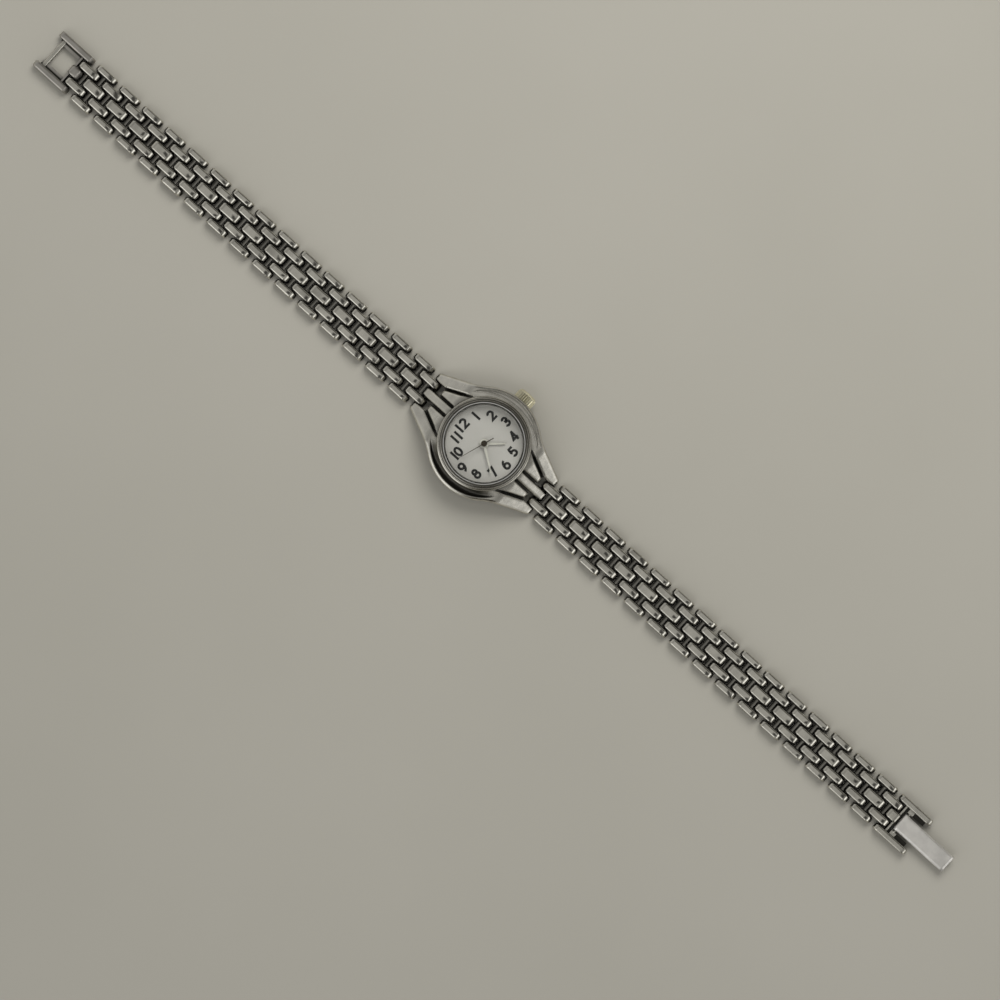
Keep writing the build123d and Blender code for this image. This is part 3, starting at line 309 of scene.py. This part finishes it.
def bezel_relief(f, painted_shade, normal):
    """The bezel reads as two crowned rings, with lines of painted shade between them and beside the
    seal.
    """
    out, radius = f.outward()
    seal_line = f.band(radius, *SEAL_LINE, LINE_SOFTNESS)
    ring_line = f.band(radius, *RING_LINE, LINE_SOFTNESS)
    wide = f.math("GREATER_THAN", radius, RINGS_MEET)
    thin_lean = f.without(f.ramp(radius, *THIN_RING, *THIN_RING_LEAN), wide)
    wide_lean = f.times(f.ramp(radius, *WIDE_RING, *WIDE_RING_LEAN), wide)
    # Painted shade: lines beside the seal and between the rings, over a weaker painted shade in the
    # gaps
    lines = f.times(f.larger(seal_line, ring_line), BEZEL_LINE_SHADE)
    painted_shade = f.larger(f.times(painted_shade, BEZEL_GAP_SHADE), lines)
    return painted_shade, f.lean(normal, out, f.plus(thin_lean, wide_lean))


def link_relief(f, painted_shade, normal):
    """Every bar has a cap at its end towards six o'clock, a dip with painted shade and a lean of its
    own.
    """
    x, y = f.axis("X"), f.axis("Y")
    inner = f.band(f.aside(), *INNER_COLUMN, COLUMN_SOFTNESS)
    outer = f.math("GREATER_THAN", f.aside(), INNER_COLUMN[1] + COLUMN_SOFTNESS)
    upper = f.math("GREATER_THAN", y, 0.0)
    first = f.plus(f.times(upper, UPPER_END - LOWER_END), LOWER_END)
    first = f.minus(first, f.times(inner, LINK_REPEAT / 2))
    along = f.times(f.math("FRACT", f.math("DIVIDE", f.minus(y, first), LINK_REPEAT)), LINK_REPEAT)
    middle = f.plus(f.times(inner, INNER_MIDDLE), f.times(outer, OUTER_MIDDLE))
    across = f.minus(x, f.times(middle, f.math("SIGN", x)))

    wander = f.times(f.minus(f.noise(0.7, 2), 0.5), DIP_WANDER)
    dip = f.times(f.band(f.plus(along, wander), *DIP_ALONG, DIP_ALONG_SOFTNESS),
                  f.band(f.plus(across, wander), *DIP_ACROSS, DIP_ACROSS_SOFTNESS))
    cap = f.band(along, *BAR_CAP, CAP_SOFTNESS)
    skew = f.minus(f.noise(0.13, 1), 0.5)
    normal = f.lean(normal, (0, -1, 0), f.times(cap, CAP_LEAN))
    normal = f.lean(normal, (0, 1, 0), f.times(dip, DIP_LEAN))
    normal = f.lean(normal, (1, 0.3, 0), f.times(skew, BAR_LEAN))
    # Painted shade: weaker along part of each bar, and dark in the dip
    painted_shade = f.without(painted_shade, f.times(f.band(along, *BAR_LEAST_SHADE, LEAST_SHADE_SOFTNESS), BAR_SHADE_EASING))
    return f.larger(painted_shade, f.times(dip, DIP_PAINTED_SHADE)), normal


def blade_relief(f, painted_shade, normal):
    """The blade's long edges and its turned end catch the light."""
    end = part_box("clasp_blade")[0].y / MM
    left = f.ramp(f.axis("X"), *(inset - BLADE_HALF for inset in BLADE_LEFT_EDGE), BLADE_LEFT_LEAN, 0.0)
    right = f.ramp(f.axis("X"), *(BLADE_HALF - inset for inset in BLADE_RIGHT_EDGE), 0.0,
                   BLADE_RIGHT_LEAN)
    tip = f.ramp(f.axis("Y"), *(end + inset for inset in BLADE_TIP), BLADE_TIP_LEAN, 0.0)
    normal = f.lean(normal, (-1, 0, 0), left)
    normal = f.lean(normal, (1, 0, 0), right)
    return painted_shade, f.lean(normal, (0, -1, 0), tip)


def hook_relief(f, painted_shade, normal):
    """A line of painted shade runs between each rail of the hook half and its ledge, and the tips
    shine.
    """
    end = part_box("hook_frame")[0].y / MM
    line = f.band(f.aside(), *HOOK_LINE, HOOK_LINE_SOFTNESS)
    # Painted shade: a line below the ledge's top beside each rail
    line = f.times(line, f.ramp(f.axis("Z"), *HOOK_LEDGE_TOP, HOOK_LINE_SHADE, 0.0))
    tips = f.band(f.axis("Y"), *(end + inset for inset in HOOK_TIP), HOOK_TIP_SOFTNESS)
    return f.larger(painted_shade, line), f.lean(normal, (0, -1, 0), tips)


def crown_relief(f, painted_shade, normal):
    """A line of painted shade lies in every flute of the crown."""
    low, high = (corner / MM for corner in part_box("crown"))
    height = f.minus(f.axis("Z"), (low.z + high.z) / 2)
    ripple = f.math("COSINE", f.times(f.math("ARCTAN2", height, f.axis("Y")), CROWN_FLUTES))
    sides = f.ramp(f.axis("X"), *(high.x - inset for inset in CROWN_RIM), 1.0, 0.0)
    # Painted shade in each flute, over a weaker painted shade in the gaps
    flutes = f.times(f.ramp(ripple, 0.0, FLUTE_COSINE, 0.0, FLUTE_SHADE), sides)
    return f.larger(f.times(painted_shade, CROWN_GAP_SHADE), flutes), normal


# Kinds of finish

# Hairline scratches of plated metal: how fine they are along each axis per millimetre, their turn in
# degrees, and the two levels of the noise between which they appear
SCRATCHES = (((0.4, 16, 6), 28, 0.66, 0.72), ((18, 0.5, 6), 17, 0.68, 0.74))
# The dark colour of painted shade in gaps, hollows and dips
PAINTED_SHADE_COLOR = (0.018, 0.017, 0.014)
# The dark colour of painted shade in the movement's crevices
CREVICE_SHADE_COLOR = (0.04, 0.035, 0.03)
SOFT_EDGE = 0.03

# Plated metal: its dull patches, and its edges rubbed bright with a painted highlight, as shades of its
# colour, and what makes it rougher
DULL_SHADE, EDGE_WEAR_AND_HIGHLIGHT_SHADE, EDGE_SHARE = 0.82, 1.2, 0.6
SCRATCH_ROUGHNESS, GAP_ROUGHNESS = 0.12, 0.3
SCRATCH_DEPTH = -0.8


def plated(name, color, rough, grain=(8, 8, 8), bevel=0.06, gap_shade_strength=0.85, gap_shade_reach=0.7, wave=0.02,
           low_parts=None, relief=None, metal=1.0):
    """Plated metal with brushing, fine scratches, soft edges rubbed bright with a painted highlight,
    and painted shade in its gaps.

    low_parts is the height under which webs and ledges between the bars get painted shade. relief takes
    the finish, its painted shade and its normal, and gives both back changed.
    """
    f = Finish(name)
    fine = f.noise(1.0, 3, 0.6, f.scaled(grain))
    scratch = f.larger(*(f.ramp(f.noise(1.0, 2, place=f.scaled(fineness, turn)), low, high)
                         for fineness, turn, low, high in SCRATCHES))
    rounded = f.rounded(bevel)
    edge = f.edge(rounded)
    # Painted shade: darker where the gap around a point is deep
    painted_shade = f.crevice(gap_shade_reach, 0.42, 0.95)
    # Painted shade on webs and ledges that lie low between the bars
    if low_parts is not None:
        under = f.ramp(f.axis("Z"), low_parts - 0.08, low_parts + 0.1, 1.0, 0.0)
        above = f.ramp(f.axis("Z"), *BAND_UNDERSIDE)
        inside = f.ramp(f.aside(), *BAND_INSIDE, 1.0, 0.0)
        painted_shade = f.larger(painted_shade, f.times(f.times(under, inside), above))
    if relief is not None:
        painted_shade, rounded = relief(f, painted_shade, rounded)
    tone = f.mix(f.ramp(f.noise(0.5, 4), *NOISE_CORE), color, shaded(color, DULL_SHADE))
    # Edges lighter: rubbed bright, with a painted highlight
    tone = f.mix(f.times(edge, EDGE_SHARE), tone, shaded(color, EDGE_WEAR_AND_HIGHLIGHT_SHADE))
    # Painted shade mixed into the colour
    tone = f.mix(f.times(painted_shade, gap_shade_strength), tone, PAINTED_SHADE_COLOR)
    roughness = f.ramp(fine, *NOISE_RANGE, rough * 0.75, rough * 1.25)
    roughness = f.plus(roughness, f.times(scratch, SCRATCH_ROUGHNESS))
    roughness = f.plus(roughness, f.times(painted_shade, GAP_ROUGHNESS))
    normal = f.bump(f.plus(fine, f.times(scratch, SCRATCH_DEPTH)), 0.25, 0.012, rounded)
    return f.done(tone, roughness, f.bump(f.noise(0.9, 2), 0.5, wave, normal), metal)


def machined(name, color, rough, lines, turned=False):
    """Cut metal of the movement, with straight or turned tool marks and painted shade in its crevices.
    """
    f = Finish(name)
    marks = f.wave(lines, 1.5, wave_type="RINGS" if turned else "BANDS", rings_direction="Z",
                   bands_direction="DIAGONAL").outputs["Fac"]
    stain = f.noise(1.2, 5)
    tone = f.mix(f.ramp(stain, 0.35, 0.7), color, shaded(color, 0.78))
    # Painted shade: darker in crevices
    tone = f.mix(f.times(f.crevice(0.5, 0.3, 0.85), 0.5), tone, CREVICE_SHADE_COLOR)
    roughness = f.ramp(f.plus(marks, stain), 0.4, 1.4, rough * 0.7, rough * 1.4)
    return f.done(tone, roughness, f.bump(marks, 0.2, 0.01, f.rounded(SOFT_EDGE)), 1.0)


def matte(name, color, rough, grain=12.0, depth=0.01, shade=0.8):
    """Rubber, moulded plastic or ink, with a fine grain."""
    f = Finish(name)
    fine = f.noise(grain, 4, 0.6)
    tone = f.mix(f.ramp(f.noise(0.8, 3), *NOISE_RANGE), color, shaded(color, shade))
    roughness = f.ramp(fine, *NOISE_RANGE, rough * 0.85, min(1.0, rough * 1.15))
    return f.done(tone, roughness, f.bump(fine, 0.3, depth, f.rounded(SOFT_EDGE)))


def dial_finish():
    """Silver white lacquer over a finely grained disc."""
    f = Finish("dial_lacquer")
    grain = f.noise(22.0, 3, 0.7)
    cloud = f.ramp(f.noise(0.35, 3), *NOISE_RANGE)
    tone = f.mix(cloud, (0.45, 0.438, 0.415), (0.48, 0.468, 0.448))
    tone = f.mix(f.ramp(grain, *NOISE_CORE, 0.0, 0.35), tone, (0.39, 0.38, 0.363))
    return f.done(tone, f.ramp(grain, *NOISE_RANGE, 0.4, 0.55), f.bump(grain, 0.35, 0.01))


def winding():
    """Enamelled copper wire wound across the coil, and the plain steel stator beside it."""
    f = Finish("copper_winding")
    wires = f.wave(6.0, 0.6, wave_type="BANDS", bands_direction="X")
    wires.inputs["Detail"].default_value = 1.0
    turns = wires.outputs["Fac"]
    coil_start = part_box("stator_coil")[1].y / MM - COIL_FRAME_WIDTH
    in_coil = f.math("GREATER_THAN", f.axis("Y"), coil_start)
    stain = f.noise(2.0, 4)
    stained = f.ramp(stain, *NOISE_RANGE)
    copper = f.mix(stained, (0.62, 0.22, 0.08), (0.42, 0.13, 0.05))
    # Painted shade: dark between the turns of wire
    copper = f.mix(f.ramp(turns, 0.0, 0.4, 0.8, 0.0), copper, (0.12, 0.03, 0.01))
    steel = f.mix(stained, (0.55, 0.55, 0.54), (0.42, 0.42, 0.41))
    normal = f.bump(f.times(turns, in_coil), 0.6, 0.03)
    roughness = f.ramp(stain, *NOISE_RANGE, 0.28, 0.42)
    return f.done(f.mix(in_coil, steel, copper), roughness, normal, 1.0)


# The crystal's share of mirroring, seen straight on and from the side
MIRRORING = (0.012, 0.85)


def glass():
    """Clear crystal: what is behind it shows, and its surface mirrors at grazing angles."""
    f = Finish("clear_crystal")
    f.tree.nodes.remove(f.shader)
    clear = f.add("ShaderNodeBsdfTransparent")
    clear.inputs["Color"].default_value = (0.985, 0.99, 0.985, 1)
    gloss = f.add("ShaderNodeBsdfGlossy")
    f.link(f.ramp(f.noise(1.5, 4), *NOISE_RANGE, 0.02, 0.06), gloss.inputs["Roughness"])
    grazing = f.math("POWER", f.add("ShaderNodeLayerWeight").outputs["Facing"], 4.0)
    mixed = f.add("ShaderNodeMixShader")
    f.link(f.ramp(grazing, 0.0, 1.0, *MIRRORING), mixed.inputs["Fac"])
    f.link(clear.outputs["BSDF"], mixed.inputs[1])
    f.link(gloss.outputs["BSDF"], mixed.inputs[2])
    f.link(mixed.outputs["Shader"], f.output.inputs["Surface"])
    return f.material


def floor_finish():
    """Pale painted board."""
    f = Finish("pale_floor")
    cloud = f.ramp(f.noise(0.012, 4), *NOISE_RANGE)
    tone = f.mix(cloud, (0.375, 0.364, 0.326), (0.352, 0.342, 0.304))
    return f.done(tone, 0.6, f.bump(f.noise(1.5, 3), 0.1, 0.01))


# Finishes of the carried-over solids: by the record's slot, and of a few nodes by their own name

CASE_STEEL = (0.65, 0.632, 0.57)
LINK_STEEL = (0.63, 0.612, 0.55)
CLASP_STEEL = (0.61, 0.592, 0.53)
HOOK_STEEL = (0.51, 0.49, 0.45)
BLADE_STEEL = (0.73, 0.715, 0.68)
PALE_GOLD = (0.96, 0.91, 0.68)
BRUSHED = (16, 3, 6)

SLOT_FINISHES = {
    "polished_case": plated("polished_case_finish", CASE_STEEL, 0.15, bevel=0.42, gap_shade_strength=0.98,
                            gap_shade_reach=1.1, wave=0.03, relief=case_relief),
    "link_steel": plated("link_finish", LINK_STEEL, 0.2, grain=BRUSHED, gap_shade_strength=0.95, low_parts=1.45,
                         relief=link_relief),
    "crystal_glass": glass(),
    "black_rubber": matte("rubber_finish", (0.02, 0.02, 0.02), 0.75),
    "silver_dial": dial_finish(),
    "hand_metal": plated("hand_finish", (0.70, 0.69, 0.62), 0.4, bevel=0.05, gap_shade_strength=0.0, gap_shade_reach=0.1,
                         metal=0.35),
    "dark_hand": plated("dark_hand_finish", (0.08, 0.066, 0.045), 0.35, bevel=0.02, gap_shade_strength=0.2,
                        gap_shade_reach=0.2),
    "plate_steel": machined("plate_finish", (0.6, 0.59, 0.56), 0.3, 4.0),
    "train_brass": machined("brass_finish", (0.72, 0.5, 0.2), 0.28, 10.0, turned=True),
    "rotor_magnet": machined("magnet_finish", (0.2, 0.2, 0.21), 0.45, 12.0, turned=True),
    "copper_coil": winding(),
    "battery_steel": machined("battery_finish", (0.62, 0.62, 0.6), 0.25, 6.0, turned=True),
    "white_plastic": matte("plastic_finish", (0.75, 0.74, 0.7), 0.5),
    "gold_crown": plated("crown_finish", PALE_GOLD, 0.18, bevel=0.03, gap_shade_reach=0.25,
                         relief=crown_relief),
    "stem_steel": machined("stem_finish", (0.5, 0.5, 0.49), 0.3, 9.0),
    "clasp_steel": plated("clasp_finish", CLASP_STEEL, 0.24, grain=BRUSHED, gap_shade_strength=0.97, low_parts=0.95),
    "blade_steel": plated("blade_finish", BLADE_STEEL, 0.38, grain=(12, 2, 6), bevel=0.1, gap_shade_strength=0.6,
                          relief=blade_relief, metal=0.7),
}
OWN_FINISHES = {
    "bezel": plated("bezel_finish", CASE_STEEL, 0.13, bevel=0.07, gap_shade_strength=0.9, gap_shade_reach=0.3, wave=0.01,
                    relief=bezel_relief),
    "crystal_gasket": matte("crystal_seal_finish", (0.30, 0.30, 0.29), 0.5),
    "hook_frame": plated("hook_finish", HOOK_STEEL, 0.4, grain=BRUSHED, gap_shade_strength=0.95, gap_shade_reach=0.5,
                         relief=hook_relief),
    "clasp_frame": plated("lever_finish", CLASP_STEEL, 0.24, grain=BRUSHED, bevel=0.1, gap_shade_strength=0.93,
                          low_parts=1.14),
}
for part in frame["record"]["subparts"]:
    finish = OWN_FINISHES.get(part["node"], SLOT_FINISHES[part["material_slot"]])
    frame["nodes"][part["node"]].material_slots[0].material = finish


def add_piece(name, mesh, material):
    """Turn a mesh under construction into an object of the scene."""
    data = bpy.data.meshes.new(name)
    mesh.to_mesh(data)
    mesh.free()
    data.materials.append(material)
    piece = bpy.data.objects.new(name, data)
    bpy.context.scene.collection.objects.link(piece)
    return piece


# Printed numerals, drawn as strokes in millimetres about each figure's middle

CAP = 0.9
STROKE = 0.40
TOP = CAP - STROKE / 2
WIDE = 0.435

# How far a stroke stands above the dial and reaches into it, and how much higher the next one ends
INK_DEPTH = 0.02
CROSSING_STEP = 0.002

# The least cosine that a corner is drawn with, and the distance at which a path's ends meet
MITRE_LIMIT = 0.45
TOUCHING = 1e-6


def arc(x, y, wide, high, start, end, steps=28):
    """Points along an ellipse about (x, y), from one angle to another in degrees."""
    angles = [math.radians(start + (end - start) * i / steps) for i in range(steps + 1)]
    return [(x + wide * math.cos(angle), y + high * math.sin(angle)) for angle in angles]


SIX = [arc(0, -TOP + 0.43, WIDE, 0.43, 0, 360, 40), arc(0.36, -0.28, 0.795, 1.06, 180, 103)]
FIGURES = {
    "0": [arc(0, 0, WIDE, TOP, 0, 360, 48)],
    "1": [[(0, CAP), (0, -CAP)]],
    "2": [arc(0, TOP - 0.42, WIDE, 0.42, 165, -22) + [(-WIDE + 0.02, -TOP), (WIDE + 0.16, -TOP)]],
    "3": [arc(0, TOP - 0.36, 0.37, 0.36, 160, -90) + arc(0, -TOP + 0.38, WIDE - 0.01, 0.40, 90, -155)],
    "4": [[(0.22, TOP), (-0.47, -0.42), (0.55, -0.42)], [(0.22, CAP), (0.22, -CAP)]],
    "5": [[(0.46, TOP), (-0.24, TOP), (-0.36, 0.06)] + arc(-0.01, -0.30, 0.45, 0.43, 135, -150)],
    "6": SIX,
    "7": [[(-0.52, TOP), (0.46, TOP), (-0.10, -CAP)]],
    "8": [arc(0, TOP - 0.34, 0.345, 0.34, 0, 360, 36), arc(0, -TOP + 0.41, 0.43, 0.41, 0, 360, 40)],
    "9": [[(-x, -y) for x, y in path] for path in SIX],
}
PLACES = {
    1: (2.45, 4.02), 2: (4.19, 2.21), 3: (5.00, -0.19), 4: (4.14, -2.71), 5: (2.17, -4.32),
    6: (-0.15, -4.93), 7: (-2.50, -4.16), 8: (-4.49, -2.35), 9: (-5.22, -0.01), 10: (-4.23, 2.25),
    11: (-2.23, 4.00), 12: (-0.31, 4.66),
}
PAIR_SPACING = {"10": 0.92, "11": 0.88, "12": 1.14}


def ribbon(mesh, path, low, high, shift):
    """A flat closed bar, one stroke wide, along a path and from one height to another."""
    points = [Vector(p) for p in path]
    closed = (points[0] - points[-1]).length < TOUCHING
    if closed:
        points.pop()
    count = len(points)
    rows = []
    for i, point in enumerate(points):
        before = points[(i - 1) % count] if closed or i else point
        after = points[(i + 1) % count] if closed or i < count - 1 else point
        first, second = (point - before).normalized(), (after - point).normalized()
        first, second = first if first.length else second, second if second.length else first
        along = (first + second).normalized()
        across = Vector((-along.y, along.x)) * (STROKE / 2 / max(MITRE_LIMIT, along.dot(first)))
        left, right = point + across, point - across
        corners = ((left, low), (right, low), (right, high), (left, high))
        rows.append([mesh.verts.new(((p.x + shift[0]) * MM, (p.y + shift[1]) * MM, z * MM))
                     for p, z in corners])
    for a, b in list(zip(rows, rows[1:])) + ([(rows[-1], rows[0])] if closed else []):
        for k in range(4):
            mesh.faces.new((a[k], a[(k + 1) % 4], b[(k + 1) % 4], b[k]))
    if not closed:
        mesh.faces.new(rows[0])
        mesh.faces.new(rows[-1][::-1])


dial_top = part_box("dial")[1].z / MM
ink = matte("numeral_ink", (0.005, 0.005, 0.005), 0.42, grain=30.0, depth=0.004, shade=0.6)
for hour, (centre_x, centre_y) in PLACES.items():
    text = str(hour)
    mesh = bmesh.new()
    for k, figure in enumerate(text):
        x = centre_x + PAIR_SPACING.get(text, 0) * (k - (len(text) - 1) / 2)
        for n, path in enumerate(FIGURES[figure]):
            top = dial_top + INK_DEPTH + CROSSING_STEP * n
            ribbon(mesh, path, dial_top - INK_DEPTH, top, (x, centre_y))
    bmesh.ops.recalc_face_normals(mesh, faces=mesh.faces[:])
    numeral = add_piece(f"numeral_{hour:02d}", mesh, ink)
    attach(numeral, "case")


# Plain pale floor

FLOOR_HALF = 3.0

mesh = bmesh.new()
bmesh.ops.create_grid(mesh, x_segments=2, y_segments=2, size=FLOOR_HALF)
add_piece("floor", mesh, floor_finish())


# Soft light: a pale room with a dim ceiling and brighter sides, and two large lamps

# How bright the room is, from the horizon and below it (0) to straight above (1), and its tint
ROOM = (
    (0.0, 0.62), (0.15, 0.62), (0.35, 0.50), (0.60, 0.34), (0.80, 0.27), (0.93, 0.35), (0.985, 0.48),
    (1.0, 0.53),
)
ROOM_TINT = (1.0, 0.985, 0.95)

# Soft patches of the room: direction, the cosines at their edge and core, and how much each adds
PATCHES = (
    ((-0.80, 0.16, 0.58), 0.84, 0.97, 1.0),
    ((0.10, -0.97, 0.15), 0.90, 0.98, 1.0),
    ((-0.70, -0.50, 0.45), 0.86, 0.94, -0.36),
    ((0.0, 0.85, 0.5), 0.75, 0.95, 0.07),
    ((0.75, 0.0, 0.60), 0.75, 0.95, -0.26),
)
LAMP_TINT = (1.0, 0.98, 0.94)


def light_room():
    world = bpy.data.worlds.new("room")
    bpy.context.scene.world = world
    world.use_nodes = True
    n = Nodes(world.node_tree)
    view = n.add("ShaderNodeTexCoord").outputs["Generated"]
    ramp = n.add("ShaderNodeValToRGB")
    n.link(n.split(view, "Z"), ramp.inputs["Fac"])
    stops = ramp.color_ramp.elements
    while len(stops) > 1:
        stops.remove(stops[-1])
    for k, (height, level) in enumerate(ROOM):
        stop = stops.new(height) if k else stops[0]
        stop.position = height
        stop.color = (*(level * tint for tint in ROOM_TINT), 1)
    light = ramp.outputs["Color"]
    for direction, edge, core, gain in PATCHES:
        cosine = n.vector("DOT_PRODUCT", view, Vector(direction).normalized(), out="Value")
        patch = n.ramp(cosine, edge, core, 0.0, abs(gain), smooth=True)
        light = n.vector("ADD" if gain > 0 else "SUBTRACT", light, patch)
    background = n.add("ShaderNodeBackground")
    n.link(light, background.inputs["Color"])
    n.link(background.outputs["Background"], n.add("ShaderNodeOutputWorld").inputs["Surface"])


def add_lamp(name, place, size, power):
    """A large round lamp that lights the floor and the watch, and isn't mirrored in the metal."""
    data = bpy.data.lights.new(name, "AREA")
    data.shape = "DISK"
    data.size = size
    data.energy = power
    data.color = LAMP_TINT
    lamp = bpy.data.objects.new(name, data)
    lamp.location = place
    lamp.rotation_mode = "QUATERNION"
    lamp.rotation_quaternion = (-Vector(place)).to_track_quat("-Z", "Y")
    lamp.visible_glossy = False
    bpy.context.scene.collection.objects.link(lamp)


light_room()
add_lamp("key", (0.30, 0.08, 0.38), 0.36, 1.9)
add_lamp("fill", (-0.55, -0.2, 0.95), 0.6, 1.5)


# Camera: straight above, turned as the photograph shows the watch

PHOTO_TURN_DEGREES = -47.75
VIEW_CENTRE = (-5.04 * MM, -8.06 * MM)
VIEW_WIDTH = 163.1 * MM
VIEW_HEIGHT = 0.55
SUBJECT_HEIGHT = 1.7 * MM
SENSOR_WIDTH = 36
CLIP_NEAR, CLIP_FAR = 0.01, 20

camera_data = bpy.data.cameras.new("camera")
camera_data.sensor_width = SENSOR_WIDTH
camera_data.lens = SENSOR_WIDTH * (VIEW_HEIGHT - SUBJECT_HEIGHT) / VIEW_WIDTH
camera_data.clip_start = CLIP_NEAR
camera_data.clip_end = CLIP_FAR
camera = bpy.data.objects.new("camera", camera_data)
camera.location = (*VIEW_CENTRE, VIEW_HEIGHT)
camera.rotation_euler = (0, 0, math.radians(PHOTO_TURN_DEGREES))
bpy.context.scene.collection.objects.link(camera)
bpy.context.scene.camera = camera
bpy.context.scene.view_settings.view_transform = "Standard"
